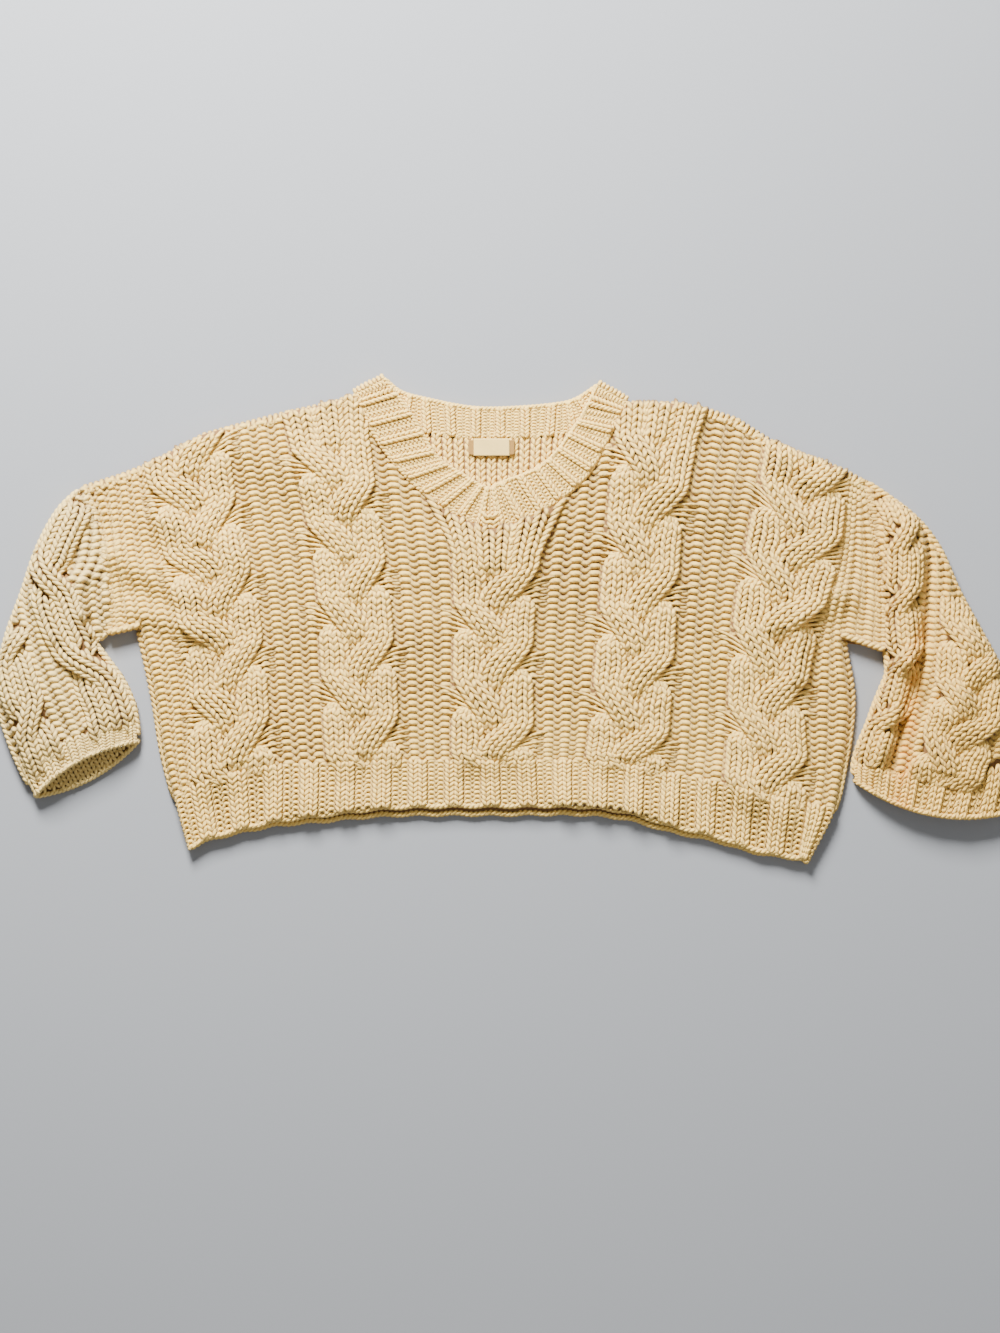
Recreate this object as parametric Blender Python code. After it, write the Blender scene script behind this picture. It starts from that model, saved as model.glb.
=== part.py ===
"""A cropped cable-knit pullover with a V neck, laid flat with its front up.

Metres, +Z up. +Y runs from the hem to the neck and +X to the right of someone who looks down on
the front. The garment rests on z = 0. The tables are in millimetres and are scaled by MM.
"""

import math
from collections import namedtuple

import bmesh
import bpy
import numpy as np

MM = 0.001

# ---- Cloth ----------------------------------------------------------------------------------
WALL = 4.6  # plain thickness of the chunky knit
RIM = 3.4  # thickness along a side seam
SEAM_GAP = 0.3  # between pieces that lie on each other
NECK_GAP = 0.7  # between a panel and the neckband picked up along it
ARM_GAP = 0.5  # between a panel and the sleeve set into it
CENTRE_SHIFT_X = -1.5  # puts the middle of the garment's box on the origin
CENTRE_SHIFT_Y = 0.35

# ---- Stitches -------------------------------------------------------------------------------
# Columns of stitches across the front, counted from its left side seam.
PLAIT_STITCHES = 9
STRAND_STITCHES = 3
PLAIT_STARTS = (3, 16, 29, 42, 55)
FRONT_STITCHES = 67
WING_STITCHES = 3  # purl stitches between the line of a side seam and the armhole
HEM_ROWS = 7
UNDERARM_ROW = 27.5
CROSSING_ROWS = 12.0  # from one crossing of a plait to the next of the same slant
FIRST_CROSSING_ROW = 5.0

# ---- Relief ---------------------------------------------------------------------------------
PLAIT_RISE = 4.6  # height of a plait's strand over the purl ground
STRAND_PHASE = 5 * math.pi / 6  # puts the strand that crosses at turn 0 in the middle
STRAND_CROSS_RISE = 1.3  # how much further a strand rises where it passes over
STRAND_HALF = 0.60  # half width of a strand, in strands
RIB_PITCH = 34.4
RIB_RISE = 1.6
CAST_ON_RISE = 1.2
CAST_ON_ROWS = 1.0
HEM_FADE_ROWS = 1.0  # the plaits run out into the rib over this many rows
RIB_AT = -119.0  # x of one of the hem's raised ribs
SIDE_EASE = 1.0  # stitches over which the wall thins towards a side seam

# ---- Front and back -------------------------------------------------------------------------
# One row for each guide row of stitches. The columns are the x of the side seams and of both
# edges of the five plaits a to e.
Guide = namedtuple("Guide", "row left a0 a1 b0 b1 c0 c1 d0 d1 e0 e1 right")
GUIDES = (
    Guide(-7, -303, -290, -220, -173, -100, -53, 28, 73, 148, 203, 278, 286),
    Guide(0, -316, -299, -220, -172, -100, -53, 26, 74, 150, 205, 284, 312),
    Guide(5, -324, -301, -224, -174, -102, -53, 26, 77, 153, 208, 286, 319),
    Guide(17, -336, -303, -230, -178, -106, -51, 25, 84, 158, 211, 284, 328),
    Guide(27.5, -350, -314, -238, -181, -112, -51, 28, 89, 162, 216, 297, 319),
    Guide(41, -365, -330, -255, -194, -123, -58, 39, 97, 169, 230, 316, 329),
    Guide(53, -371, -345, -264, -209, -131, -68, 49, 104, 184, 244, 324, 333),
    Guide(61, -374, -352, -268, -217, -135, -74, 54, 108, 196, 251, 328, 337),
)
# The y of each guide row at the side seams and along the middle of each plait.
Level = namedtuple("Level", "row left a b c d e right")
LEVELS = (
    Level(-7, -220, -202, -183, -179, -184, -222, -233),
    Level(0, -173, -150, -139, -138, -141, -170, -184),
    Level(5, -142, -117, -108, -114, -118, -140, -154),
    Level(17, -70, -42, -34, -38, -46, -69, -80),
    Level(27.5, -7, 17, 32, 22, 20, -3, -16),
    Level(41, 66, 90, 114, 103, 114, 70, 56),
    Level(53, 135, 158, 185, 174, 195, 134, 123),
    Level(61, 180, 204, 233, 221, 247, 180, 171),
)
Spot = namedtuple("Spot", "x y")
SHOULDER_LEFT = (
    Spot(-404, 126),
    Spot(-369, 137),
    Spot(-341, 148),
    Spot(-313, 163),
    Spot(-289, 176),
    Spot(-256, 185),
    Spot(-210, 197),
    Spot(-164, 207),
    Spot(-149, 213),
)
SHOULDER_RIGHT = (
    Spot(118, 206.5),
    Spot(158, 206),
    Spot(188, 201),
    Spot(219, 191),
    Spot(252, 170),
    Spot(286, 156),
    Spot(322, 142),
    Spot(338, 133),
)
BACK_HEM_DROP = 8.0  # how far the back hem shows below the front hem, at the middle

# Folds that lift the front off the back: a ridge from one end to the other.
Fold = namedtuple("Fold", "x0 y0 x1 y1 spread rise")
FRONT_FOLDS = (
    Fold(277, 0, 276, -55, 9, 6),
    Fold(-372, 60, -300, 20, 16, 7),
    Fold(-330, 96, -262, 60, 18, 5),
    Fold(-352, 8, -290, -12, 12, 5),
    Fold(300, 96, 312, 30, 15, 6),
    Fold(262, 150, 300, 128, 14, 6),
    Fold(322, 20, 250, -6, 14, 4),
    Fold(-250, 160, -150, 120, 26, 5),
    Fold(-60, 70, 10, 60, 30, 4),
    Fold(120, 150, 200, 110, 26, 4),
    Fold(-200, -176, -130, -172, 20, 3),
    Fold(60, -170, 150, -178, 22, 4),
    Fold(200, -150, 270, -190, 18, 4),
)

# ---- Neckband -------------------------------------------------------------------------------
# Its free edge and the edge that is sewn to the panels, from the left tip to the right one.
Band = namedtuple("Band", "free_x free_y seam_x seam_y")
FRONT_BAND_LEFT = (
    Band(-116, 229, -145, 214),
    Band(-102, 210, -138, 200),
    Band(-88, 191, -128, 180),
    Band(-67, 155, -104, 146),
    Band(-41, 137, -74, 117),
    Band(-26, 128, -50, 101),
    Band(-16, 124, -16, 86),
)
FRONT_BAND_RIGHT = (
    Band(-16, 124, -16, 86),
    Band(-5, 130, 14, 95),
    Band(24, 141, 45, 111),
    Band(47, 159, 77, 139),
    Band(62, 180, 93, 167),
    Band(73, 196, 105, 190),
    Band(86, 223, 114, 207),
)
BACK_BAND = (
    Band(-116, 229, -145, 214),
    Band(-101, 217, -117, 186),
    Band(-77, 210, -75, 177),
    Band(-36, 202, -36, 173),
    Band(15, 202, 15, 173),
    Band(47, 205, 45, 175),
    Band(68, 211, 86, 186),
    Band(86, 223, 114, 207),
)
BAND_THICK = 4.6
BAND_RIB_RISE = 0.9
FRONT_BAND_RIBS = 9  # on each side of the V
BACK_BAND_RIBS = 8
BAND_LIFT = 8.4  # height of the front band's middle plane at the V
BAND_TIP_LIFT = 9.4  # and where it folds over a shoulder
BACK_BAND_LIFT = 2.6
BAND_FOLD_STEPS = 5
BAND_CHAMFER = 0.10  # share of the band's width that each rounded edge takes
RIB_SHAPE = ((0.22, 0.0), (0.5, 1.0), (0.78, 0.0))  # place in one rib's pitch, and height

# ---- Label ----------------------------------------------------------------------------------
LABEL_MIDDLE = Spot(-14.5, 163.5)
LABEL_SIZE = (34.0, 16.5, 0.7)
TAPE_SIZE = (44.0, 14.5, 0.6)

# ---- Sleeves --------------------------------------------------------------------------------
# Sections from the armhole to the cuff: the outer and the underarm edge, the height of the
# puffed cloth, and how far the section bows towards the cuff. The first section is the armhole
# itself, which the panels share.
Section = namedtuple("Section", "outer_x outer_y under_x under_y puff bow")
SLEEVE_LEFT = (
    Section(-404, 126, -380, -14, 13, -9.5),
    Section(-427, 103, -386, -18, 17, 4),
    Section(-446, 68, -392, -20, 20, 0),
    Section(-461, 25, -393, -22, 22, -3),
    Section(-477, -20, -383, -35, 23, -4),
    Section(-486, -68, -366, -58, 23, -2),
    Section(-478, -104, -356, -80, 22, 2),
    Section(-465, -138, -352, -100, 21, -4),
    Section(-449, -170, -351, -117, 19, -10),
)
SLEEVE_RIGHT = (
    Section(338, 133, 360, -30, 13, 7.6),
    Section(362, 117, 361, -34, 17, 4),
    Section(390, 95, 362, -43, 21, 2),
    Section(411, 68, 362, -54, 22, 0),
    Section(429, 28, 357, -66, 23, 0),
    Section(450, -11, 350, -82, 23, 2),
    Section(471, -51, 343, -101, 23, 6),
    Section(484, -95, 335, -120, 22, 10),
    Section(489, -139, 330, -139, 20, 14),
    Section(482, -184, 331, -154, 18, 18),
)
CUFF_TONGUE = 20.0  # how far the under layer of the left cuff shows past its upper layer
CUFF_RIB_LENGTH = 30.0
CUFF_RIB_PITCH = 16.0
CUFF_RIB_RISE = 1.3
SLEEVE_WALL = 4.4
SLEEVE_EDGE_HEIGHT = 6.0  # height at which the upper and the under layer meet along an edge
SLEEVE_LEFT_FOLDS = (
    Fold(-398, 96, -416, 44, 5, -5),
    Fold(-378, 56, -404, 40, 9, 7),
    Fold(-406, 36, -401, 6, 8, 7),
    Fold(-391, 36, -396, -4, 5, -6),
    Fold(-452, 70, -440, 20, 12, 4),
    Fold(-425, -30, -398, -90, 9, -5),
)
SLEEVE_RIGHT_FOLDS = (
    Fold(352, 100, 356, -10, 7, -6),
    Fold(372, 100, 376, -40, 11, 7),
    Fold(376, -45, 350, -140, 11, 5),
    Fold(404, 70, 396, -20, 9, -6),
    Fold(392, -40, 362, -140, 8, -6),
    Fold(440, -20, 424, -90, 16, 6),
    Fold(462, -30, 470, -110, 14, 4),
)
# The plaits that run down the sleeves: a middle line, and the width that shows.
Track = namedtuple("Track", "width spots")
SLEEVE_LEFT_PLAITS = (
    Track(44, (Spot(-425, 85), Spot(-435, 56), Spot(-425, 7), Spot(-406, -34), Spot(-382, -77),
               Spot(-371, -117))),
    Track(40, (Spot(-471, -8), Spot(-471, -30), Spot(-457, -82), Spot(-438, -132), Spot(-431, -154))),
)
SLEEVE_RIGHT_PLAITS = (
    Track(34, (Spot(369, 109), Spot(378, 56), Spot(375, 9), Spot(377, -34), Spot(369, -77),
               Spot(351, -116), Spot(345, -140))),
    Track(70, (Spot(456, -20), Spot(439, -68), Spot(428, -116), Spot(424, -150))),
)
PLAIT_PERIOD = 72.0  # length of plait from one crossing to the next of the same slant
TRACK_FADE = 9.0  # a plait fades out over this length past the ends of its track
SLEEVE_LENGTH = 235.0  # along the middle, from the armhole to the cuff
PUFF_POWER = 2.8
RELIEF_POWER = 8.0
DOME_ROUND = 0.55
FOLD_ONSET = 6.0  # the folds reach their full height at one sixth of the sleeve
CUFF_RIB_ONSET = 3.0
TONGUE_EASE = 6.0
UNDER_STEEP = 1.4
HOLLOW_INSET = 1.5  # the hollow's edge lies this many walls in from the sleeve's edge
TROUGH_WIDEN = 1.8
LEAST_HOLLOW = 1.2

# ---- Mesh density ---------------------------------------------------------------------------
ROWS_TO_UNDERARM = 24
ROWS_ABOVE_UNDERARM = 21
COLUMNS_PER_PLAIT = 9
COLUMNS_PER_PURL = 6
COLUMNS_AT_SIDE = 3
SLEEVE_RINGS = 25
RING_TOP = 25
RING_UNDER = 9
HOLLOW_TOP = 13
HOLLOW_UNDER = 5
RIB_MESH_ROWS = 4
NECK_SAMPLES = 40
TRACK_SAMPLES = 120
LOWEST_TOP_ROW = 12.0
HIGHEST_TOP_ROW = 75.0
BISECTIONS = 30
FLATTEN_ANGLE = math.radians(2.5)

# ---- Materials ------------------------------------------------------------------------------
Finish = namedtuple("Finish", "colour roughness metallic")
CREAM_KNIT = Finish((0.80, 0.68, 0.47), 0.95, 0.0)
CREAM_BACK = Finish((0.76, 0.64, 0.43), 0.95, 0.0)
CREAM_SLEEVE = Finish((0.79, 0.67, 0.47), 0.95, 0.0)
CREAM_RIB = Finish((0.82, 0.70, 0.50), 0.95, 0.0)
LABEL_WEAVE = Finish((0.88, 0.82, 0.68), 0.85, 0.0)
TAPE_WEAVE = Finish((0.66, 0.47, 0.33), 0.9, 0.0)


def clear_scene():
    for thing in list(bpy.data.objects):
        bpy.data.objects.remove(thing, do_unlink=True)


def finish_material(name, finish):
    material = bpy.data.materials.new(name)
    material.use_nodes = True
    shader = material.node_tree.nodes["Principled BSDF"]
    shader.inputs["Base Color"].default_value = (*finish.colour, 1.0)
    shader.inputs["Roughness"].default_value = finish.roughness
    shader.inputs["Metallic"].default_value = finish.metallic
    return material


def make_piece(name, points, faces, finish, flat_points=()):
    """A closed piece from points in millimetres. Plain areas of flat_points take few faces."""
    mesh = bpy.data.meshes.new(name)
    form = bmesh.new()
    shift = np.array((CENTRE_SHIFT_X, CENTRE_SHIFT_Y, 0.0))
    corners = [form.verts.new(tuple(point)) for point in (np.asarray(points) + shift) * MM]
    for face in faces:
        form.faces.new([corners[index] for index in face])
    bmesh.ops.recalc_face_normals(form, faces=form.faces[:])
    if len(flat_points):
        inner = {corners[index] for index in flat_points}
        edges = [edge for edge in form.edges if edge.verts[0] in inner or edge.verts[1] in inner]
        bmesh.ops.dissolve_limit(
            form,
            angle_limit=FLATTEN_ANGLE,
            verts=list(inner),
            edges=edges,
        )
    form.to_mesh(mesh)
    form.free()
    mesh.shade_smooth()
    piece = bpy.data.objects.new(name, mesh)
    bpy.context.scene.collection.objects.link(piece)
    piece.data.materials.append(finish_material(name, finish))
    return piece


# ---- Curves and folds -----------------------------------------------------------------------
def smooth(knots, table, at):
    """Smooth curves through the rows of table at knots, one value for each entry of at.

    A table with one column serves every entry. A table with as many columns as at has entries
    gives each entry its own column. The curves run on straight beyond both ends."""
    knots = np.asarray(knots, float)
    table = np.asarray(table, float)
    at = np.asarray(at, float)
    if table.ndim == 1:
        table = np.repeat(table[:, None], len(at), axis=1)
    slopes = np.gradient(table, knots, axis=0)
    entry = np.arange(len(at))
    span = np.clip(np.searchsorted(knots, at, side="right") - 1, 0, len(knots) - 2)
    width = knots[span + 1] - knots[span]
    share = np.clip((at - knots[span]) / width, 0.0, 1.0)
    square, cube = share**2, share**3
    inside = (
        (2 * cube - 3 * square + 1) * table[span, entry]
        + (cube - 2 * square + share) * width * slopes[span, entry]
        + (3 * square - 2 * cube) * table[span + 1, entry]
        + (cube - square) * width * slopes[span + 1, entry]
    )
    beyond = at - np.clip(at, knots[0], knots[-1])
    return inside + beyond * np.where(beyond > 0, slopes[-1], slopes[0])


def fold_height(x, y, folds, widen=1.0):
    """Height that the folds add at x, y. A fold runs out softly at both ends."""
    height = np.zeros_like(x)
    for fold in folds:
        along = np.array((fold.x1 - fold.x0, fold.y1 - fold.y0), float)
        length = np.hypot(*along)
        along /= length
        forward = (x - fold.x0) * along[0] + (y - fold.y0) * along[1]
        aside = (x - fold.x0) * along[1] - (y - fold.y0) * along[0]
        past = forward - np.clip(forward, 0.0, length)
        height = height + fold.rise * np.exp(-(aside**2 + past**2) / (fold.spread * widen) ** 2)
    return height


def plait_height(across, turns):
    """Height of a three-strand plait. across runs from -1.5 to 1.5 strands, turns in crossings."""
    height = np.zeros_like(across)
    for strand in range(3):
        angle = 2 * math.pi * (turns + strand) / 3 + STRAND_PHASE
        aside = np.abs(across - np.sin(angle)) / STRAND_HALF
        dome = np.sqrt(np.clip(1 - aside**2, 0.0, 1.0))
        lift = 1 - STRAND_CROSS_RISE / PLAIT_RISE * np.sin(2 * angle)
        height = np.maximum(height, PLAIT_RISE * dome * lift)
    return height


def section_point(section, side, share, gap=0.0):
    """Points at share of the way from a section's outer edge to its underarm edge.

    gap moves them towards the cuff, by one value or by one for each point. side is -1 for the
    sleeve at -X and 1 for the one at +X."""
    across = np.array((section.under_x - section.outer_x, section.under_y - section.outer_y))
    to_cuff = side * np.array((-across[1], across[0])) / np.hypot(*across)
    bow = section.bow * 4 * share * (1 - share) + gap
    start = np.array((section.outer_x, section.outer_y))
    return start + share[:, None] * across + bow[:, None] * to_cuff


# ---- The laid-out front: from stitches and rows to places -----------------------------------
SEAM_STITCHES = (0, 3, 12, 16, 25, 29, 38, 42, 51, 55, 64, 67)
MIDDLE_STITCHES = (0, 7.5, 20.5, 33.5, 46.5, 59.5, 67)


def laid_out(stitch, row):
    """The x and y of each stitch and row on the laid-out front."""
    guide_rows = [guide.row for guide in GUIDES]
    across = np.array([np.interp(stitch, SEAM_STITCHES, guide[1:]) for guide in GUIDES])
    level_rows = [level.row for level in LEVELS]
    heights = np.array([smooth(MIDDLE_STITCHES, level[1:], stitch) for level in LEVELS])
    return smooth(guide_rows, across, row), smooth(level_rows, heights, row)


def last_row(stitch, line):
    """The row at which each stitch's column meets line, the top edge of a panel."""
    low = np.full_like(stitch, LOWEST_TOP_ROW)
    high = np.full_like(stitch, HIGHEST_TOP_ROW)
    for _ in range(BISECTIONS):
        middle = (low + high) / 2
        x, y = laid_out(stitch, middle)
        under = y < np.interp(x, line[:, 0], line[:, 1])
        low = np.where(under, middle, low)
        high = np.where(under, high, middle)
    return (low + high) / 2


def band_edges(table, share):
    """Free and sewn edge of the neckband at share of the way along one of its tables."""
    seam = np.array([(row.seam_x, row.seam_y) for row in table], float)
    length = np.concatenate(([0.0], np.cumsum(np.hypot(*np.diff(seam, axis=0).T))))
    knots = length / length[-1]
    columns = [smooth(knots, [row[column] for row in table], share) for column in range(4)]
    return np.stack(columns[:2], axis=1), np.stack(columns[2:], axis=1)


def neck_line(tables):
    """The edge of a panel along the neckband, a gap outside the band's sewn edge."""
    lines = []
    for table in tables:
        _, seam = band_edges(table, np.linspace(0.0, 1.0, NECK_SAMPLES))
        ahead = np.gradient(seam, axis=0)
        ahead /= np.hypot(*ahead.T)[:, None]
        lines.append(seam + NECK_GAP * np.stack((ahead[:, 1], -ahead[:, 0]), axis=1))
    return np.concatenate(lines)


def top_line(tables):
    """The top edge of a panel: both shoulders and the neck between them."""
    line = np.concatenate((np.array(SHOULDER_LEFT), neck_line(tables), np.array(SHOULDER_RIGHT)))
    return line[np.concatenate(([True], np.diff(np.maximum.accumulate(line[:, 0])) > 0))]


def stitch_columns():
    """Stitch numbers of the mesh's columns between the side seams."""
    edges = []
    for start, end in zip(SEAM_STITCHES[:-1], SEAM_STITCHES[1:]):
        if end - start == PLAIT_STITCHES:
            count = COLUMNS_PER_PLAIT
        elif start == 0 or end == FRONT_STITCHES:
            count = COLUMNS_AT_SIDE
        else:
            count = COLUMNS_PER_PURL
        edges.append(np.linspace(start, end, count, endpoint=False))
    return np.concatenate((*edges, [FRONT_STITCHES]))


def panel_grid(line):
    """Stitch, row, x, y and whether it is there, for each point of a panel's mesh.

    The first index is the column, from wing to wing. The wings reach out from the side seams to
    the armholes, above the underarm only."""
    columns = stitch_columns()
    rib_rows = np.linspace(-HEM_ROWS, 0, RIB_MESH_ROWS, endpoint=False)
    low_rows = np.linspace(0, UNDERARM_ROW, ROWS_TO_UNDERARM, endpoint=False)
    low_rows = np.concatenate((rib_rows, low_rows))
    high_share = np.linspace(0.0, 1.0, ROWS_ABOVE_UNDERARM + 1)
    top = last_row(columns, line)
    rows = np.concatenate(
        (
            np.tile(low_rows, (len(columns), 1)),
            UNDERARM_ROW + high_share * (top - UNDERARM_ROW)[:, None],
        ),
        axis=1,
    )
    stitches = np.tile(columns[:, None], (1, rows.shape[1]))
    x, y = (place.reshape(rows.shape) for place in laid_out(stitches.ravel(), rows.ravel()))
    grid = np.stack((stitches, rows, x, y, np.ones(rows.shape)))
    step = np.arange(1, WING_STITCHES + 1)[:, None]
    for side, sleeve in ((-1, SLEEVE_LEFT), (1, SLEEVE_RIGHT)):
        beside = grid[:, 0 if side < 0 else -1]
        seam = np.zeros((2, rows.shape[1]))
        seam[:, len(low_rows):] = section_point(sleeve[0], side, 1 - high_share).T
        wing = np.repeat(beside[:, None], WING_STITCHES, axis=1)
        wing[0] += side * step
        wing[2:4] += (seam - beside[2:4])[:, None] * step / WING_STITCHES
        wing[4, :, : len(low_rows)] = 0
        parts = (wing[:, ::-1], grid) if side < 0 else (grid, wing)
        grid = np.concatenate(parts, axis=1)
    return grid


def wall_from_grid(x, y, under, top, there):
    """Points and faces of a closed wall whose two sides share a grid in plan."""
    used = there > 0
    number = np.full(used.shape, -1)
    number[used] = np.arange(used.sum())
    count = int(used.sum())
    points = np.concatenate(
        (
            np.stack((x[used], y[used], top[used]), axis=1),
            np.stack((x[used], y[used], under[used]), axis=1),
        )
    )
    faces = []
    rim = set()
    for column in range(used.shape[0] - 1):
        for row in range(used.shape[1] - 1):
            corners = (
                number[column, row],
                number[column + 1, row],
                number[column + 1, row + 1],
                number[column, row + 1],
            )
            if min(corners) < 0:
                continue
            faces.append(corners)
            faces.append(tuple(corner + count for corner in reversed(corners)))
            for start, end in zip(corners, corners[1:] + corners[:1]):
                if (end, start) in rim:
                    rim.remove((end, start))
                else:
                    rim.add((start, end))
    for start, end in sorted(rim):
        faces.append((end, start, start + count, end + count))
    edge_points = {corner for edge in rim for corner in edge}
    plain_under = [index + count for index in range(count) if index not in edge_points]
    plain_top = [index for index in range(count) if index not in edge_points]
    return points, faces, plain_under, plain_top


# ---- Front and back -------------------------------------------------------------------------
def front_relief(stitch, row, x, y):
    """Height of the front's raised knitting over its plain purl ground."""
    height = np.zeros_like(x)
    turns = (FIRST_CROSSING_ROW - row) / CROSSING_ROWS
    for start in PLAIT_STARTS:
        across = (stitch - start - PLAIT_STITCHES / 2) / STRAND_STITCHES
        height = np.maximum(height, plait_height(across, turns))
    hem = np.clip(-row / HEM_FADE_ROWS, 0.0, 1.0)
    rib = RIB_RISE * (0.5 + 0.5 * np.cos(2 * math.pi * (x - RIB_AT) / RIB_PITCH))
    cast_on = CAST_ON_RISE * np.clip(1 - (row + HEM_ROWS) / CAST_ON_ROWS, 0.0, 1.0)
    return (1 - hem) * height + hem * rib + cast_on


def build_front():
    line = top_line((FRONT_BAND_LEFT, FRONT_BAND_RIGHT))
    stitch, row, x, y, there = panel_grid(line)
    lift = fold_height(x, y, FRONT_FOLDS)
    under = WALL + SEAM_GAP + lift
    from_side = np.minimum(stitch, FRONT_STITCHES - stitch)
    beside_seam = (row < UNDERARM_ROW) & (from_side < SIDE_EASE)
    thick = np.where(beside_seam, RIM + (WALL - RIM) * np.clip(from_side / SIDE_EASE, 0, 1), WALL)
    top = under + thick + front_relief(stitch, row, x, y)
    points, faces, plain_under, _ = wall_from_grid(x, y, under, top, there)
    return make_piece("front_panel", points, faces, CREAM_KNIT, plain_under)


def build_back():
    line = top_line((BACK_BAND,))
    _, row, x, y, there = panel_grid(line)
    middle = (GUIDES[0].left + GUIDES[0].right) / 2
    from_middle = (x - middle) / ((GUIDES[0].right - GUIDES[0].left) / 2)
    drop = BACK_HEM_DROP * np.clip(1 - from_middle**2, 0.0, 1.0)
    y = y - drop * np.clip(-row / HEM_ROWS, 0.0, 1.0)
    under = np.zeros_like(x)
    points, faces, plain_under, plain_top = wall_from_grid(x, y, under, under + WALL, there)
    return make_piece("back_panel", points, faces, CREAM_BACK, plain_under + plain_top)


# ---- Neckband -------------------------------------------------------------------------------
def rib_stations(count):
    """Shares of the way along a stretch of rib, and how raised the rib is at each."""
    share, raised = [0.0], [0.0]
    for rib in range(count):
        for place, height in RIB_SHAPE:
            share.append((rib + place) / count)
            raised.append(height)
    share.append(1.0)
    raised.append(0.0)
    return np.array(share), np.array(raised)


def band_stretch(table, ribs, lift_start, lift_end, turn):
    """Stations of the band: free edge, sewn edge, middle height, outward turn and rib height."""
    share, raised = rib_stations(ribs)
    free, seam = band_edges(table, share)
    lift = lift_start + (lift_end - lift_start) * share
    return [
        (free[at], seam[at], np.array((0.0, 0.0, lift[at])), np.array((0.0, 0.0, turn)), raised[at])
        for at in range(len(share))
    ]


def band_fold(row, to_back):
    """Stations where the band turns over a shoulder, from the front to the back or the other way."""
    free = np.array((row.free_x, row.free_y), float)
    seam = np.array((row.seam_x, row.seam_y), float)
    along = (seam - free) / np.hypot(*(seam - free))
    out = np.array((-along[1], along[0])) * math.copysign(1.0, along[0])
    radius = (BAND_TIP_LIFT - BACK_BAND_LIFT) / 2
    middle = (BAND_TIP_LIFT + BACK_BAND_LIFT) / 2
    stations = []
    for step in range(1, BAND_FOLD_STEPS):
        angle = math.pi * step / BAND_FOLD_STEPS
        if not to_back:
            angle = math.pi - angle
        place = np.array((*(out * radius * math.sin(angle)), middle + radius * math.cos(angle)))
        turn = np.array((*(out * math.sin(angle)), math.cos(angle)))
        stations.append((free, seam, place, turn, 0.0))
    return stations


def build_neckband():
    left, right = FRONT_BAND_LEFT, FRONT_BAND_RIGHT
    stations = band_stretch(left, FRONT_BAND_RIBS, BAND_TIP_LIFT, BAND_LIFT, 1.0)
    stations += band_stretch(right, FRONT_BAND_RIBS, BAND_LIFT, BAND_TIP_LIFT, 1.0)[1:]
    stations += band_fold(right[-1], to_back=True)
    back = band_stretch(BACK_BAND, BACK_BAND_RIBS, BACK_BAND_LIFT, BACK_BAND_LIFT, -1.0)
    stations += back[::-1]
    stations += band_fold(left[0], to_back=False)
    half = BAND_THICK / 2
    points = []
    for free, seam, place, turn, raised in stations:
        outer = half + BAND_RIB_RISE * raised * max(turn[2], 0.0)
        inner = half + BAND_RIB_RISE * raised * max(-turn[2], 0.0)
        for across, out in (
            (0.0, 0.0),
            (BAND_CHAMFER, outer),
            (1 - BAND_CHAMFER, outer),
            (1.0, 0.0),
            (1 - BAND_CHAMFER, -inner),
            (BAND_CHAMFER, -inner),
        ):
            plan = free + across * (seam - free)
            points.append(np.array((*plan, 0.0)) + place + turn * out)
    sides = len(points) // len(stations)
    faces = []
    for station in range(len(stations)):
        following = (station + 1) % len(stations)
        for corner in range(sides):
            beside = (corner + 1) % sides
            faces.append(
                (
                    station * sides + corner,
                    station * sides + beside,
                    following * sides + beside,
                    following * sides + corner,
                )
            )
    return make_piece("neckband", points, faces, CREAM_RIB)


# ---- Label ----------------------------------------------------------------------------------
def build_plate(name, size, under, finish):
    """A thin woven tape lying flat, its long sides along X."""
    width, height, thick = size
    corners = [
        (LABEL_MIDDLE.x + side_x * width / 2, LABEL_MIDDLE.y + side_y * height / 2, level)
        for level in (under, under + thick)
        for side_x, side_y in ((-1, -1), (1, -1), (1, 1), (-1, 1))
    ]
    faces = ((3, 2, 1, 0), (4, 5, 6, 7), (0, 1, 5, 4), (1, 2, 6, 5), (2, 3, 7, 6), (3, 0, 4, 7))
    return make_piece(name, corners, faces, finish)


def build_label():
    tape_under = WALL + SEAM_GAP
    build_plate("label_tape", TAPE_SIZE, tape_under, TAPE_WEAVE)
    build_plate("neck_label", LABEL_SIZE, tape_under + TAPE_SIZE[2] + SEAM_GAP, LABEL_WEAVE)


# ---- Sleeves --------------------------------------------------------------------------------
def plait_along(x, y, track, period):
    """Height of a plait that follows a track over the plan."""
    spots = np.array(track.spots, float)
    length = np.concatenate(([0.0], np.cumsum(np.hypot(*np.diff(spots, axis=0).T))))
    at = np.linspace(0.0, length[-1], TRACK_SAMPLES)
    line = np.stack([smooth(length, spots[:, axis], at) for axis in (0, 1)], axis=1)
    ahead = np.gradient(line, axis=0)
    ahead /= np.hypot(*ahead.T)[:, None]
    away = np.stack((x.ravel(), y.ravel()), axis=1)[:, None] - line[None]
    nearest = np.argmin((away**2).sum(axis=2), axis=1)
    pick = np.arange(len(nearest))
    gone = away[pick, nearest]
    aside = gone[:, 0] * ahead[nearest, 1] - gone[:, 1] * ahead[nearest, 0]
    past = np.abs((gone * ahead[nearest]).sum(axis=1))
    fade = np.clip(1 - past / TRACK_FADE, 0.0, 1.0)
    height = plait_height(aside / (track.width / 3), at[nearest] / period) * fade
    return height.reshape(x.shape)


def dome(share, power):
    """A full, rounded profile that is 0 at both edges and 1 in the middle."""
    return np.clip(1 - np.abs(2 * share - 1) ** power, 0.0, 1.0) ** DOME_ROUND


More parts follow.
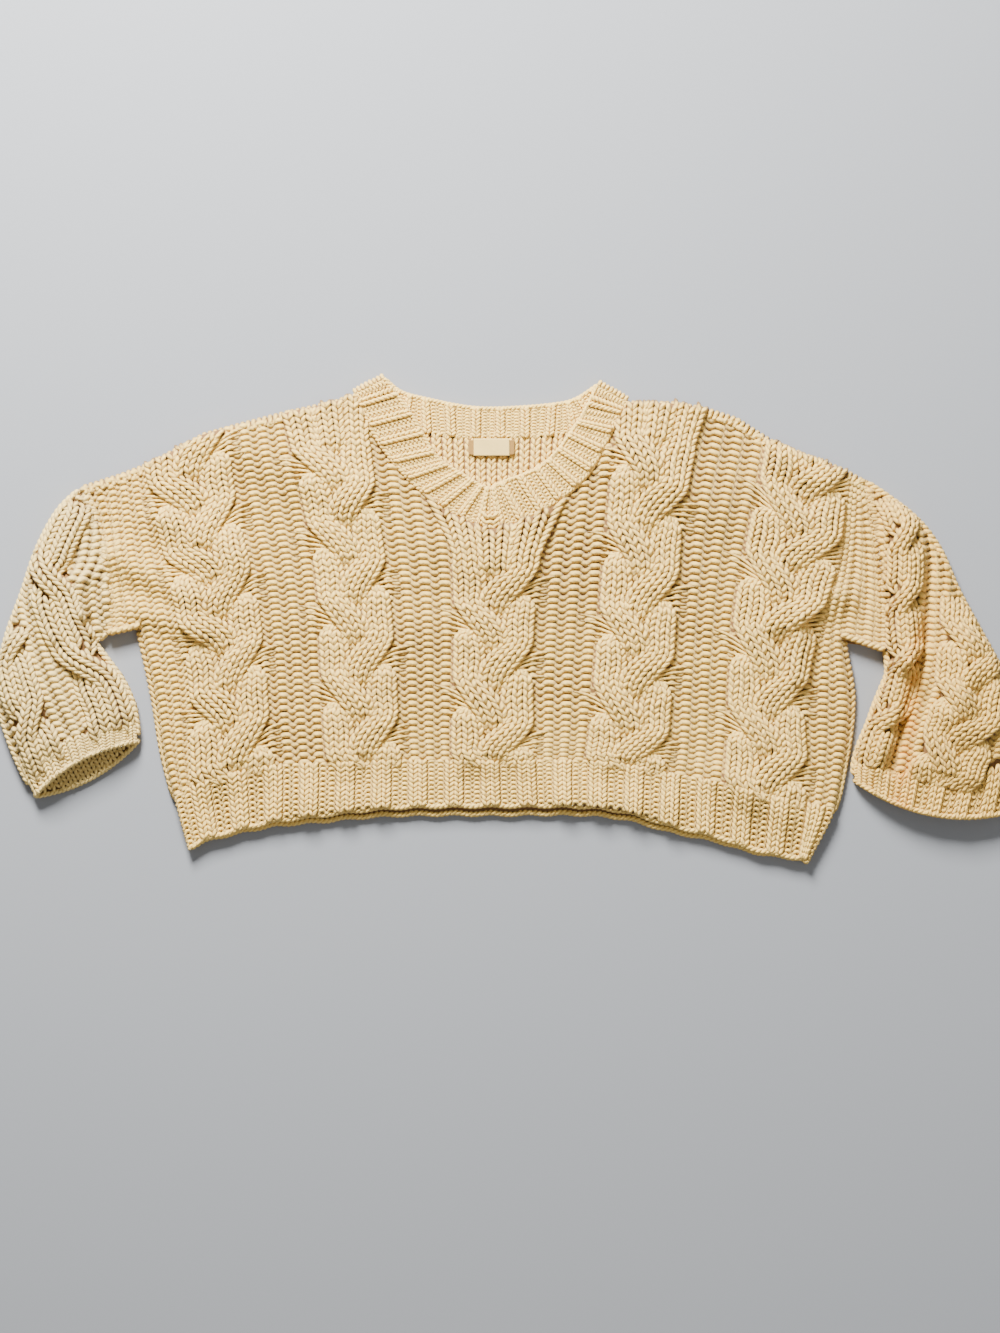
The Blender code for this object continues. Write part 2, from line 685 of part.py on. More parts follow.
def section_at(sections, share):
    """The section at share of the way from armhole to cuff."""
    knots = np.arange(len(sections), dtype=float)
    at = np.array([share * knots[-1]])
    return Section(*(smooth(knots, [row[i] for row in sections], at)[0] for i in range(6)))


def join_rings(outer, hollow, outer_turn, hollow_turn):
    """Faces that close the gap between two rings of points, given how far round each lies."""
    faces = []
    i = j = 0
    while i < len(outer) or j < len(hollow):
        next_outer = outer_turn[i + 1] if i + 1 < len(outer) else 1.0
        next_hollow = hollow_turn[j + 1] if j + 1 < len(hollow) else 1.0
        if j == len(hollow) or (i < len(outer) and next_outer <= next_hollow):
            faces.append((outer[i], outer[(i + 1) % len(outer)], hollow[j % len(hollow)]))
            i += 1
        else:
            faces.append((outer[i % len(outer)], hollow[(j + 1) % len(hollow)], hollow[j]))
            j += 1
    return faces


def ring_shares(top_count, under_count):
    """Shares across a section for a ring's upper and under points, and how far round each lies."""
    top = np.linspace(0.0, 1.0, top_count)
    under = np.linspace(1.0, 0.0, under_count + 2)[1:-1]
    return top, under, np.concatenate((top / 2, 1 - under / 2))


def upper_height(x, y, across, share, width, puff, folds, plaits):
    """Height of a sleeve's outside along the top of one section."""
    soft = dome(across, RELIEF_POWER)
    height = SLEEVE_EDGE_HEIGHT + (puff - SLEEVE_EDGE_HEIGHT) * dome(across, PUFF_POWER)
    height = height + fold_height(x, y, folds) * soft * min(1.0, share * FOLD_ONSET)
    relief = np.zeros_like(x)
    for track in plaits:
        relief = np.maximum(relief, plait_along(x, y, track, PLAIT_PERIOD))
    to_cuff = (1 - share) * SLEEVE_LENGTH
    rib_share = min(1.0, max(0.0, 1 - to_cuff / CUFF_RIB_LENGTH) * CUFF_RIB_ONSET)
    wave = np.cos(2 * math.pi * across * width / CUFF_RIB_PITCH)
    rib = CUFF_RIB_RISE * (0.5 + 0.5 * wave)
    return height + ((1 - rib_share) * relief + rib_share * rib) * soft


def sleeve_rings(side, sections, folds, plaits, tongue, share):
    """The outer ring and the hollow's ring at share of the way from armhole to cuff."""
    section = section_at(sections, share)
    width = math.hypot(section.under_x - section.outer_x, section.under_y - section.outer_y)
    gap = ARM_GAP * (1 - share)
    reach = tongue * share**TONGUE_EASE
    top, under, _ = ring_shares(RING_TOP, RING_UNDER)
    x, y = section_point(section, side, top, gap).T
    level = upper_height(x, y, top, share, width, section.puff, folds, plaits)
    over = np.column_stack((x, y, level))
    from_edge = np.minimum(under, 1 - under) * width / SLEEVE_EDGE_HEIGHT
    level = SLEEVE_EDGE_HEIGHT * np.clip(1 - from_edge * UNDER_STEEP, 0.0, 1.0)
    bulge = 4 * reach * under * (1 - under)
    below = np.column_stack((section_point(section, side, under, gap + bulge), level))

    top, under, _ = ring_shares(HOLLOW_TOP, HOLLOW_UNDER)
    inset = SLEEVE_WALL * HOLLOW_INSET / width
    x, y = section_point(section, side, inset + (1 - 2 * inset) * top, gap).T
    troughs = [fold for fold in folds if fold.rise < 0]
    room = section.puff - SLEEVE_WALL - SLEEVE_EDGE_HEIGHT
    level = SLEEVE_EDGE_HEIGHT + room * dome(top, PUFF_POWER)
    level = level + fold_height(x, y, troughs, TROUGH_WIDEN)
    ceiling = np.column_stack((x, y, np.maximum(level, SLEEVE_WALL + LEAST_HOLLOW)))
    across = inset + (1 - 2 * inset) * under
    bulge = 4 * reach * across * (1 - across)
    plan = section_point(section, side, across, gap + bulge)
    floor = np.column_stack((plan, np.full(len(plan), SLEEVE_WALL)))
    return np.concatenate((over, below)), np.concatenate((ceiling, floor))


def build_sleeve(name, side, sections, folds, plaits, tongue):
    """A sleeve lying flat and slightly puffed: an open tube from its armhole to its cuff."""
    shares = np.linspace(0.0, 1.0, SLEEVE_RINGS)
    pairs = [sleeve_rings(side, sections, folds, plaits, tongue, share) for share in shares]
    points = np.concatenate([pair[0] for pair in pairs] + [pair[1] for pair in pairs])
    outer_count, hollow_count = RING_TOP + RING_UNDER, HOLLOW_TOP + HOLLOW_UNDER
    _, _, outer_turn = ring_shares(RING_TOP, RING_UNDER)
    _, _, hollow_turn = ring_shares(HOLLOW_TOP, HOLLOW_UNDER)
    first_hollow = outer_count * SLEEVE_RINGS
    faces = []
    for base, count in ((0, outer_count), (first_hollow, hollow_count)):
        for ring in range(SLEEVE_RINGS - 1):
            for corner in range(count):
                beside = (corner + 1) % count
                here = base + ring * count
                faces.append(
                    (here + corner, here + beside, here + count + beside, here + count + corner)
                )
    for ring in (0, SLEEVE_RINGS - 1):
        outer = [ring * outer_count + corner for corner in range(outer_count)]
        hollow = [first_hollow + ring * hollow_count + corner for corner in range(hollow_count)]
        faces += join_rings(outer, hollow, outer_turn, hollow_turn)
    return make_piece(name, points, faces, CREAM_SLEEVE)


def main():
    clear_scene()
    build_back()
    build_front()
    build_neckband()
    build_label()
    build_sleeve("sleeve_left", -1, SLEEVE_LEFT, SLEEVE_LEFT_FOLDS, SLEEVE_LEFT_PLAITS, CUFF_TONGUE)
    build_sleeve("sleeve_right", 1, SLEEVE_RIGHT, SLEEVE_RIGHT_FOLDS, SLEEVE_RIGHT_PLAITS, 0.0)


main()
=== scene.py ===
"""Stitch by stitch dressing of a cropped cable-knit pullover that lies flat with its front up.

Tables and sizes are in millimetres. +Y runs from the hem to the neck, and z = 0 is the surface
that the pullover lies on. Every piece of yarn is a tube that follows the stitches of the panel,
sleeve or band below it.
"""

import math
from collections import namedtuple

import bpy
import numpy as np
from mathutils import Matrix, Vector
from mathutils.bvhtree import BVHTree


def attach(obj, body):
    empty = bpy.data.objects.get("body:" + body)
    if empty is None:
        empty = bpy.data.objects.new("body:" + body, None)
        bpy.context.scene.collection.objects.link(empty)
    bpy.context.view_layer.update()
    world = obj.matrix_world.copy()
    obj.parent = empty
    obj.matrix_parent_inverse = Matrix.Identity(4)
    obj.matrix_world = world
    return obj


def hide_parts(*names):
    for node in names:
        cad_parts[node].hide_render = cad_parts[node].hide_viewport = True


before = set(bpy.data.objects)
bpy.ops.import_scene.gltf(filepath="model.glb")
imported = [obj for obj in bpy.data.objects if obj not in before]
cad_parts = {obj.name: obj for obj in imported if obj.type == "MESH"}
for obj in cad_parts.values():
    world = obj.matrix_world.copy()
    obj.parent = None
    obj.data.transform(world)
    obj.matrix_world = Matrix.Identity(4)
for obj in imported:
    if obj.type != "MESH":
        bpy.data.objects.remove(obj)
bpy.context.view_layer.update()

MM = 0.001

# ---- Cloth ----------------------------------------------------------------------------------
WALL = 4.6
SEAM_GAP = 0.3
NECK_GAP = 0.7
ARM_GAP = 0.5
CENTRE_SHIFT = (-1.5, 0.35, 0.0)
GROUND = 2 * WALL + SEAM_GAP  # height of the plain front over the surface it lies on

# ---- Stitches -------------------------------------------------------------------------------
PLAIT_STITCHES = 9
STRAND_STITCHES = 3
PLAIT_STARTS = (3, 16, 29, 42, 55)
FRONT_STITCHES = 67
WING_STITCHES = 3
HEM_ROWS = 7
UNDERARM_ROW = 27.5
CROSSING_ROWS = 12.0
FIRST_CROSSING_ROW = 5.0
ROW_PITCH = 6.05
NECK_SAMPLES = 40
LOWEST_TOP_ROW = 12.0
HIGHEST_TOP_ROW = 75.0
BISECTIONS = 30

# ---- Front and back -------------------------------------------------------------------------
# One row for each guide row of stitches. The columns are the x of the side seams and of both
# edges of the five plaits a to e.
Guide = namedtuple("Guide", "row left a0 a1 b0 b1 c0 c1 d0 d1 e0 e1 right")
GUIDES = (
    Guide(-7, -303, -290, -220, -173, -100, -53, 28, 73, 148, 203, 278, 286),
    Guide(0, -316, -299, -220, -172, -100, -53, 26, 74, 150, 205, 284, 312),
    Guide(5, -324, -301, -224, -174, -102, -53, 26, 77, 153, 208, 286, 319),
    Guide(17, -336, -303, -230, -178, -106, -51, 25, 84, 158, 211, 284, 328),
    Guide(27.5, -350, -314, -238, -181, -112, -51, 28, 89, 162, 216, 297, 319),
    Guide(41, -365, -330, -255, -194, -123, -58, 39, 97, 169, 230, 316, 329),
    Guide(53, -371, -345, -264, -209, -131, -68, 49, 104, 184, 244, 324, 333),
    Guide(61, -374, -352, -268, -217, -135, -74, 54, 108, 196, 251, 328, 337),
)
# The y of each guide row at the side seams and along the middle of each plait.
Level = namedtuple("Level", "row left a b c d e right")
LEVELS = (
    Level(-7, -220, -202, -183, -179, -184, -222, -233),
    Level(0, -173, -150, -139, -138, -141, -170, -184),
    Level(5, -142, -117, -108, -114, -118, -140, -154),
    Level(17, -70, -42, -34, -38, -46, -69, -80),
    Level(27.5, -7, 17, 32, 22, 20, -3, -16),
    Level(41, 66, 90, 114, 103, 114, 70, 56),
    Level(53, 135, 158, 185, 174, 195, 134, 123),
    Level(61, 180, 204, 233, 221, 247, 180, 171),
)
Spot = namedtuple("Spot", "x y")
SHOULDER_LEFT = (
    Spot(-404, 126), Spot(-369, 137), Spot(-341, 148), Spot(-313, 163), Spot(-289, 176),
    Spot(-256, 185), Spot(-210, 197), Spot(-164, 207), Spot(-149, 213),
)
SHOULDER_RIGHT = (
    Spot(118, 206.5), Spot(158, 206), Spot(188, 201), Spot(219, 191), Spot(252, 170),
    Spot(286, 156), Spot(322, 142), Spot(338, 133),
)
BACK_HEM_DROP = 8.0  # how far the back hem shows below the front hem, at the middle

# Folds that lift the front off the back: a ridge from one end to the other.
Fold = namedtuple("Fold", "x0 y0 x1 y1 spread rise")
FRONT_FOLDS = (
    Fold(277, 0, 276, -55, 9, 6), Fold(-372, 60, -300, 20, 16, 7),
    Fold(-330, 96, -262, 60, 18, 5), Fold(-352, 8, -290, -12, 12, 5),
    Fold(300, 96, 312, 30, 15, 6), Fold(262, 150, 300, 128, 14, 6), Fold(322, 20, 250, -6, 14, 4),
    Fold(-250, 160, -150, 120, 26, 5), Fold(-60, 70, 10, 60, 30, 4),
    Fold(120, 150, 200, 110, 26, 4), Fold(-200, -176, -130, -172, 20, 3),
    Fold(60, -170, 150, -178, 22, 4), Fold(200, -150, 270, -190, 18, 4),
)

# ---- Neckband -------------------------------------------------------------------------------
# Its free edge and the edge that is sewn to the panels, from the left tip to the right one.
Band = namedtuple("Band", "free_x free_y seam_x seam_y")
FRONT_BAND_LEFT = (
    Band(-116, 229, -145, 214), Band(-102, 210, -138, 200), Band(-88, 191, -128, 180),
    Band(-67, 155, -104, 146), Band(-41, 137, -74, 117), Band(-26, 128, -50, 101),
    Band(-16, 124, -16, 86),
)
FRONT_BAND_RIGHT = (
    Band(-16, 124, -16, 86), Band(-5, 130, 14, 95), Band(24, 141, 45, 111),
    Band(47, 159, 77, 139), Band(62, 180, 93, 167), Band(73, 196, 105, 190),
    Band(86, 223, 114, 207),
)
BACK_BAND = (
    Band(-116, 229, -145, 214), Band(-101, 217, -117, 186), Band(-77, 210, -75, 177),
    Band(-36, 202, -36, 173), Band(15, 202, 15, 173), Band(47, 205, 45, 175),
    Band(68, 211, 86, 186), Band(86, 223, 114, 207),
)
BAND_THICK = 4.6
FRONT_BAND_RIBS = 9  # on each side of the V
BACK_BAND_RIBS = 12
BAND_LIFT = 8.4  # height of the front band's middle plane at the V
BAND_TIP_LIFT = 9.4  # and where it folds over a shoulder
BACK_BAND_LIFT = 2.6

# ---- Label ----------------------------------------------------------------------------------
LABEL_MIDDLE = Spot(-14.5, 163.5)
LABEL_SIZE = (34.0, 16.5, 0.7)
TAPE_SIZE = (44.0, 14.5, 0.6)

# ---- Sleeves --------------------------------------------------------------------------------
# Sections from the armhole to the cuff: the outer and the underarm edge, the height of the
# puffed cloth, and how far the section bows towards the cuff. The first section is the armhole
# itself, which the panels share.
Section = namedtuple("Section", "outer_x outer_y under_x under_y puff bow")
SLEEVE_LEFT = (
    Section(-404, 126, -380, -14, 13, -9.5), Section(-427, 103, -386, -18, 17, 4),
    Section(-446, 68, -392, -20, 20, 0), Section(-461, 25, -393, -22, 22, -3),
    Section(-477, -20, -383, -35, 23, -4), Section(-486, -68, -366, -58, 23, -2),
    Section(-478, -104, -356, -80, 22, 2), Section(-465, -138, -352, -100, 21, -4),
    Section(-449, -170, -351, -117, 19, -10),
)
SLEEVE_RIGHT = (
    Section(338, 133, 360, -30, 13, 7.6), Section(362, 117, 361, -34, 17, 4),
    Section(390, 95, 362, -43, 21, 2), Section(411, 68, 362, -54, 22, 0),
    Section(429, 28, 357, -66, 23, 0), Section(450, -11, 350, -82, 23, 2),
    Section(471, -51, 343, -101, 23, 6), Section(484, -95, 335, -120, 22, 10),
    Section(489, -139, 330, -139, 20, 14), Section(482, -184, 331, -154, 18, 18),
)
CUFF_TONGUE = 20.0  # how far the under layer of the left cuff shows past its upper layer
CUFF_RIB_LENGTH = 30.0
SLEEVE_EDGE_HEIGHT = 6.0  # height at which the upper and the under layer meet along an edge
SLEEVE_LEFT_FOLDS = (
    Fold(-398, 96, -416, 44, 5, -5), Fold(-378, 56, -404, 40, 9, 7),
    Fold(-406, 36, -401, 6, 8, 7), Fold(-391, 36, -396, -4, 5, -6),
    Fold(-452, 70, -440, 20, 12, 4), Fold(-425, -30, -398, -90, 9, -5),
)
SLEEVE_RIGHT_FOLDS = (
    Fold(352, 100, 356, -10, 7, -6), Fold(372, 100, 376, -40, 11, 7),
    Fold(376, -45, 350, -140, 11, 5), Fold(404, 70, 396, -20, 9, -6),
    Fold(392, -40, 362, -140, 8, -6), Fold(440, -20, 424, -90, 16, 6),
    Fold(462, -30, 470, -110, 14, 4),
)
# The plaits that run down the sleeves: a middle line, and the width that shows.
# crossing is 1 where its over-strands run up to the right and -1 where they run up to the left.
# The rows of stitches count up from the track's cuff end, and reach a crossing at every 12th row
# of rows * pace + phase.
Track = namedtuple("Track", "width crossing pace phase spots")
SLEEVE_LEFT_PLAITS = (
    Track(44, -1, 0.82, 6.2, (
        Spot(-412, 112), Spot(-425, 85), Spot(-435, 56), Spot(-425, 7), Spot(-406, -34),
        Spot(-382, -77), Spot(-371, -117),
    )),
    Track(40, 1, 1.0, 6.9, (
        Spot(-471, -8), Spot(-471, -30), Spot(-457, -82), Spot(-438, -132), Spot(-431, -154),
    )),
)
SLEEVE_RIGHT_PLAITS = (
    Track(34, 1, 1.25, 6.9, (
        Spot(364, 118), Spot(369, 109), Spot(378, 56), Spot(375, 9), Spot(377, -34),
        Spot(369, -77), Spot(351, -116), Spot(345, -140),
    )),
    Track(72, 1, 1.25, 5.0, (
        Spot(447, 18), Spot(444, -20), Spot(439, -68), Spot(431, -106), Spot(419, -135),
        Spot(413, -159),
    )),
)
TRACK_FADE = 9.0  # a plait fades out over this length past the ends of its track
# Lines down the purl between the plaits: a spot, and how many degrees the rows there rise to
# the right. beside is the side of the sleeve's first plait that the rows lie on.
Wale = namedtuple("Wale", "x y tilt")
Field = namedtuple("Field", "beside wales")
SLEEVE_LEFT_FIELDS = (
    Field(-1, (
        Wale(-452, 60, 0), Wale(-455, 20, 0), Wale(-448, -20, 0), Wale(-436, -58, 0),
        Wale(-425, -87, 4), Wale(-415, -111, 12), Wale(-409, -130, 22), Wale(-405, -150, 26),
    )),
    Field(1, (
        Wale(-383, 132, 36), Wale(-384, 85, 34), Wale(-388, 56, 28), Wale(-400, 28, 14),
        Wale(-398, -5, 5), Wale(-372, -60, 10), Wale(-355, -115, 26),
    )),
)
SLEEVE_RIGHT_FIELDS = (
    Field(1, (
        Wale(378, 140, -34), Wale(392, 95, -30), Wale(400, 56, -28), Wale(398, 18, -27),
        Wale(396, -20, -20), Wale(390, -58, -8), Wale(380, -87, 0), Wale(371, -120, 6),
        Wale(366, -150, 8),
    )),
    Field(-1, (
        Wale(362, 120, -20), Wale(362, 40, -16), Wale(358, -40, -10), Wale(345, -100, 0),
        Wale(335, -150, 6),
    )),
)
PUFF_POWER = 2.8
RELIEF_POWER = 8.0
DOME_ROUND = 0.55
FOLD_ONSET = 6.0  # the folds reach their full height at one sixth of the sleeve
TONGUE_EASE = 6.0
UNDER_STEEP = 1.4


# ---- Curves and folds -----------------------------------------------------------------------
def smooth(knots, table, at):
    """Smooth curves through the rows of table at knots, one value for each entry of at.

    A table with one column serves every entry. A table with as many columns as at has entries
    gives each entry its own column. The curves run on straight beyond both ends."""
    knots = np.asarray(knots, float)
    table = np.asarray(table, float)
    at = np.asarray(at, float)
    if table.ndim == 1:
        table = np.repeat(table[:, None], len(at), axis=1)
    slopes = np.gradient(table, knots, axis=0)
    entry = np.arange(len(at))
    span = np.clip(np.searchsorted(knots, at, side="right") - 1, 0, len(knots) - 2)
    width = knots[span + 1] - knots[span]
    share = np.clip((at - knots[span]) / width, 0.0, 1.0)
    square, cube = share**2, share**3
    inside = (
        (2 * cube - 3 * square + 1) * table[span, entry]
        + (cube - 2 * square + share) * width * slopes[span, entry]
        + (3 * square - 2 * cube) * table[span + 1, entry]
        + (cube - square) * width * slopes[span + 1, entry]
    )
    beyond = at - np.clip(at, knots[0], knots[-1])
    return inside + beyond * np.where(beyond > 0, slopes[-1], slopes[0])


def lengths(line):
    """The length along a line up to each of its points."""
    return np.concatenate(([0.0], np.cumsum(np.linalg.norm(np.diff(line, axis=0), axis=1))))


def fold_height(x, y, folds):
    """Height that the folds add at x, y. A fold runs out softly at both ends."""
    height = np.zeros_like(x)
    for fold in folds:
        along = np.array((fold.x1 - fold.x0, fold.y1 - fold.y0), float)
        length = np.hypot(*along)
        along /= length
        forward = (x - fold.x0) * along[0] + (y - fold.y0) * along[1]
        aside = (x - fold.x0) * along[1] - (y - fold.y0) * along[0]
        past = forward - np.clip(forward, 0.0, length)
        height = height + fold.rise * np.exp(-(aside**2 + past**2) / fold.spread**2)
    return height


def section_point(section, side, share, gap=0.0):
    """Points at share of the way from a section's outer edge to its underarm edge.

    gap moves them towards the cuff, by one value or by one for each point. side is -1 for the
    sleeve at -X and 1 for the one at +X."""
    across = np.array((section.under_x - section.outer_x, section.under_y - section.outer_y))
    to_cuff = side * np.array((-across[1], across[0])) / np.hypot(*across)
    bow = section.bow * 4 * share * (1 - share) + gap
    start = np.array((section.outer_x, section.outer_y))
    return start + share[:, None] * across + bow[:, None] * to_cuff


# ---- The laid-out front: from stitches and rows to places -----------------------------------
SEAM_STITCHES = (0, 3, 12, 16, 25, 29, 38, 42, 51, 55, 64, 67)
MIDDLE_STITCHES = (0, 7.5, 20.5, 33.5, 46.5, 59.5, 67)


def laid_out(stitch, row):
    """The x and y of each stitch and row on the laid-out front."""
    guide_rows = [guide.row for guide in GUIDES]
    across = np.array([np.interp(stitch, SEAM_STITCHES, guide[1:]) for guide in GUIDES])
    level_rows = [level.row for level in LEVELS]
    heights = np.array([smooth(MIDDLE_STITCHES, level[1:], stitch) for level in LEVELS])
    return smooth(guide_rows, across, row), smooth(level_rows, heights, row)


def last_row(stitch, line):
    """The row at which each stitch's column meets line, the top edge of a panel."""
    low = np.full_like(stitch, LOWEST_TOP_ROW)
    high = np.full_like(stitch, HIGHEST_TOP_ROW)
    for _ in range(BISECTIONS):
        middle = (low + high) / 2
        x, y = laid_out(stitch, middle)
        under = y < np.interp(x, line[:, 0], line[:, 1])
        low = np.where(under, middle, low)
        high = np.where(under, high, middle)
    return (low + high) / 2


def band_edges(table, share):
    """Free and sewn edge of the neckband at share of the way along one of its tables."""
    seam = np.array([(row.seam_x, row.seam_y) for row in table], float)
    length = lengths(seam)
    knots = length / length[-1]
    columns = [smooth(knots, [row[column] for row in table], share) for column in range(4)]
    return np.stack(columns[:2], axis=1), np.stack(columns[2:], axis=1)


def neck_line(tables):
    """The edge of a panel along the neckband, a gap outside the band's sewn edge."""
    lines = []
    for table in tables:
        _, seam = band_edges(table, np.linspace(0.0, 1.0, NECK_SAMPLES))
        ahead = np.gradient(seam, axis=0)
        ahead /= np.hypot(*ahead.T)[:, None]
        lines.append(seam + NECK_GAP * np.stack((ahead[:, 1], -ahead[:, 0]), axis=1))
    return np.concatenate(lines)


def top_line(tables):
    """The top edge of a panel: both shoulders and the neck between them."""
    line = np.concatenate((np.array(SHOULDER_LEFT), neck_line(tables), np.array(SHOULDER_RIGHT)))
    return line[np.concatenate(([True], np.diff(np.maximum.accumulate(line[:, 0])) > 0))]


# ---- Yarn -----------------------------------------------------------------------------------
YARN = 2.2  # radius of the plied yarn in the knit stitches
PURL_YARN = 2.75  # and in the purl bumps, where it lies looser
SIDES = 5
TWIST_LENGTH = 10.0  # length of yarn that one unit of its length coordinate stands for
LOWEST_YARN = 0.15  # no yarn lies lower than this over the surface below
END_TAPER = 0.45  # thickness of a cord's ends, as a share
SOFT_RANDOM = np.random.default_rng(11)


def unit(vectors):
    return vectors / np.maximum(np.linalg.norm(vectors, axis=-1, keepdims=True), 1e-9)


class Knitting:
    """Tubes of yarn that become one mesh. Places are in millimetres."""

    def __init__(self):
        self.points, self.quads, self.caps, self.places, self.depths = [], [], [], [], []
        self.count = 0

    def lay(self, paths, radii, crests):
        """Adds tubes along paths, whose last two axes are the steps and the places.

        crests is the height of the knitting's outer face over each step, from which each point
        of the yarn takes how deep it lies. The yarn material paints shade by that depth."""
        shape = np.shape(paths)[:-1]
        steps = shape[-1]
        paths = np.asarray(paths, float).reshape(-1, steps, 3)
        tubes = len(paths)
        if not tubes:
            return
        radii = np.broadcast_to(radii, shape).reshape(tubes, steps)
        crests = np.broadcast_to(crests, shape).reshape(tubes, steps)
        ahead = unit(np.gradient(paths, axis=1))
        aside = unit(np.cross(ahead, (0.0, 0.0, 1.0)))
        over = np.cross(aside, ahead)
        turn = 2 * math.pi * np.arange(SIDES) / SIDES + math.pi / 2
        ring = np.cos(turn)[:, None] * aside[:, :, None] + np.sin(turn)[:, None] * over[:, :, None]
        points = paths[:, :, None] + radii[:, :, None, None] * ring
        points[..., 2] = np.maximum(points[..., 2], LOWEST_YARN)
        number = self.count + np.arange(tubes * steps * SIDES).reshape(tubes, steps, SIDES)
        following = np.roll(number, -1, axis=2)
        quads = (number[:, :-1], following[:, :-1], following[:, 1:], number[:, 1:])
        self.quads.append(np.stack(quads, axis=-1).reshape(-1, 4))
        self.caps.append(np.concatenate((number[:, 0, ::-1], number[:, -1])))
        step = np.linalg.norm(np.diff(paths, axis=1), axis=2)
        length = np.concatenate((np.zeros((tubes, 1)), np.cumsum(step, axis=1)), axis=1)
        length = (length + SOFT_RANDOM.uniform(0, TWIST_LENGTH, (tubes, 1))) / TWIST_LENGTH
        around = np.arange(SIDES + 1) / SIDES
        u = np.stack((length[:, :-1], length[:, :-1], length[:, 1:], length[:, 1:]), axis=-1)
        v = np.stack((around[:-1], around[1:], around[1:], around[:-1]), axis=-1)
        u = np.repeat(u[:, :, None], SIDES, axis=2)
        v = np.broadcast_to(v, u.shape)
        self.places.append(np.stack((u, v), axis=-1).reshape(-1, 2))
        self.points.append(points.reshape(-1, 3))
        self.depths.append((crests[:, :, None] - points[..., 2]).ravel())
        self.count += tubes * steps * SIDES

    def cord(self, path, radius, crest=None):
        """Adds one tube with thin ends along a path that has any number of steps."""
        path = np.asarray(path, float)
        if len(path) < 3:
            return
        radius = np.broadcast_to(np.asarray(radius, float), (len(path),)).copy()
        radius[[0, -1]] *= END_TAPER
        self.lay(path[None], radius, path[:, 2] + radius if crest is None else crest)

    def piece(self, name, material, slot):
        points = np.concatenate(self.points)
        quads, caps = np.concatenate(self.quads), np.concatenate(self.caps)
        mesh = bare_mesh(name, points, (quads, caps))
        around = np.zeros((quads.size + caps.size, 2))
        around[: quads.size] = np.concatenate(self.places)
        mesh.uv_layers.new(name="yarn").data.foreach_set("uv", around.ravel())
        # How deep each point lies below the knitting's outer face, for the painted shade of the
        # yarn.
        depth = mesh.attributes.new("depth", "FLOAT", "POINT")
        depth.data.foreach_set("value", np.concatenate(self.depths))
        return dress(name, mesh, material)


def bare_mesh(name, points, blocks):
    """A smooth mesh from points in millimetres and blocks of faces with like numbers of corners."""
    mesh = bpy.data.meshes.new(name)
    corners = np.concatenate([block.ravel() for block in blocks])
    sizes = np.concatenate([np.full(len(block), block.shape[1]) for block in blocks])
    mesh.vertices.add(len(points))
    mesh.vertices.foreach_set("co", ((points + CENTRE_SHIFT) * MM).ravel())
    mesh.loops.add(len(corners))
    mesh.loops.foreach_set("vertex_index", corners)
    mesh.polygons.add(len(sizes))
    mesh.polygons.foreach_set("loop_start", np.cumsum(sizes) - sizes)
    mesh.polygons.foreach_set("use_smooth", np.ones(len(sizes), bool))
    mesh.update(calc_edges=True)
    return mesh


def dress(name, mesh, material):
    piece = bpy.data.objects.new(name, mesh)
    bpy.context.scene.collection.objects.link(piece)
    mesh.materials.append(material)
    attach(piece, "root")
    return piece


def runs(there):
    """Start and end of each stretch of true values."""
    edge = np.flatnonzero(np.diff(np.concatenate(([0], there.astype(int), [0]))))
    return zip(edge[::2], edge[1::2])


# ---- Stitch shapes --------------------------------------------------------------------------
PURL_STEPS = 10
PURL_LEAN = 0.04  # how far a loop's head bulges past its neck, in stitches
PURL_WAVE = 0.31  # in rows
PURL_FLAT = 0.22  # how much wider a loop's head is than its feet
PURL_BULGE = 0.6
PURL_HEAD = 0.7  # how much higher a loop's head lies than its feet
PURL_GAUGE = 0.82  # bumps to each stitch of the guide tables
LEG_STEPS = 7
LEG_FOOT = 0.04  # a leg's foot and head from the middle of its stitch, in stitches
LEG_HEAD = 0.41
LEG_LOW = -0.74  # in rows
LEG_HIGH = 0.74
LEG_BULGE = 2.2
LEG_SINK = 0.55
LEG_THIN = 0.55  # thickness of a leg's ends, as a share
LOWEST_PURL_ROW = 0.55
TALLEST = 74.0  # more rows than any column of the front has
SHORTEST_CORD = 6  # steps that a cord of purl bumps has at least
EVEN = (0.96, 1.05)  # how much the yarn's thickness varies from cord to cord


def purl_wave(start, end, step=PURL_STEPS):
    """Stitch, row and height along a cord of purl bumps from start to end, in stitches.

    A head lies at the middle of each stitch."""
    count = max(4, int(round((end - start) * step)) + 1)
    turn = 2 * math.pi * (np.linspace(start, end, count) - 0.5)
    stitch = turn / (2 * math.pi) + 0.5 + PURL_LEAN * np.sin(2 * turn)
    wave = PURL_WAVE * (np.cos(turn) - PURL_FLAT * np.cos(2 * turn))
    return stitch, wave, PURL_BULGE * np.cos(2 * turn) + PURL_HEAD * np.cos(turn)


def leg_shape():
    """Stitch offset, row offset, height and thickness of both legs of a knit stitch."""
    share = np.linspace(0.0, 1.0, LEG_STEPS)
    out = LEG_FOOT + (LEG_HEAD - LEG_FOOT) * share**0.9
    rise = np.sin(math.pi * share)
    height = LEG_BULGE * (rise**0.7 - LEG_SINK)
    thick = LEG_THIN + (1 - LEG_THIN) * np.sqrt(rise)
    along = LEG_LOW + (LEG_HIGH - LEG_LOW) * share
    return np.stack((-out, out)), np.stack((along, along)), height, thick


LEG_OUT, LEG_ALONG, LEG_LIFT, LEG_THICK = leg_shape()


# ---- The front ------------------------------------------------------------------------------
FRONT_LINE = top_line((FRONT_BAND_LEFT, FRONT_BAND_RIGHT))
TOP_STITCHES = np.linspace(0.0, FRONT_STITCHES, 269)
TOP_ROWS = last_row(TOP_STITCHES, FRONT_LINE)


def top_row(stitch):
    return np.interp(stitch, TOP_STITCHES, TOP_ROWS)


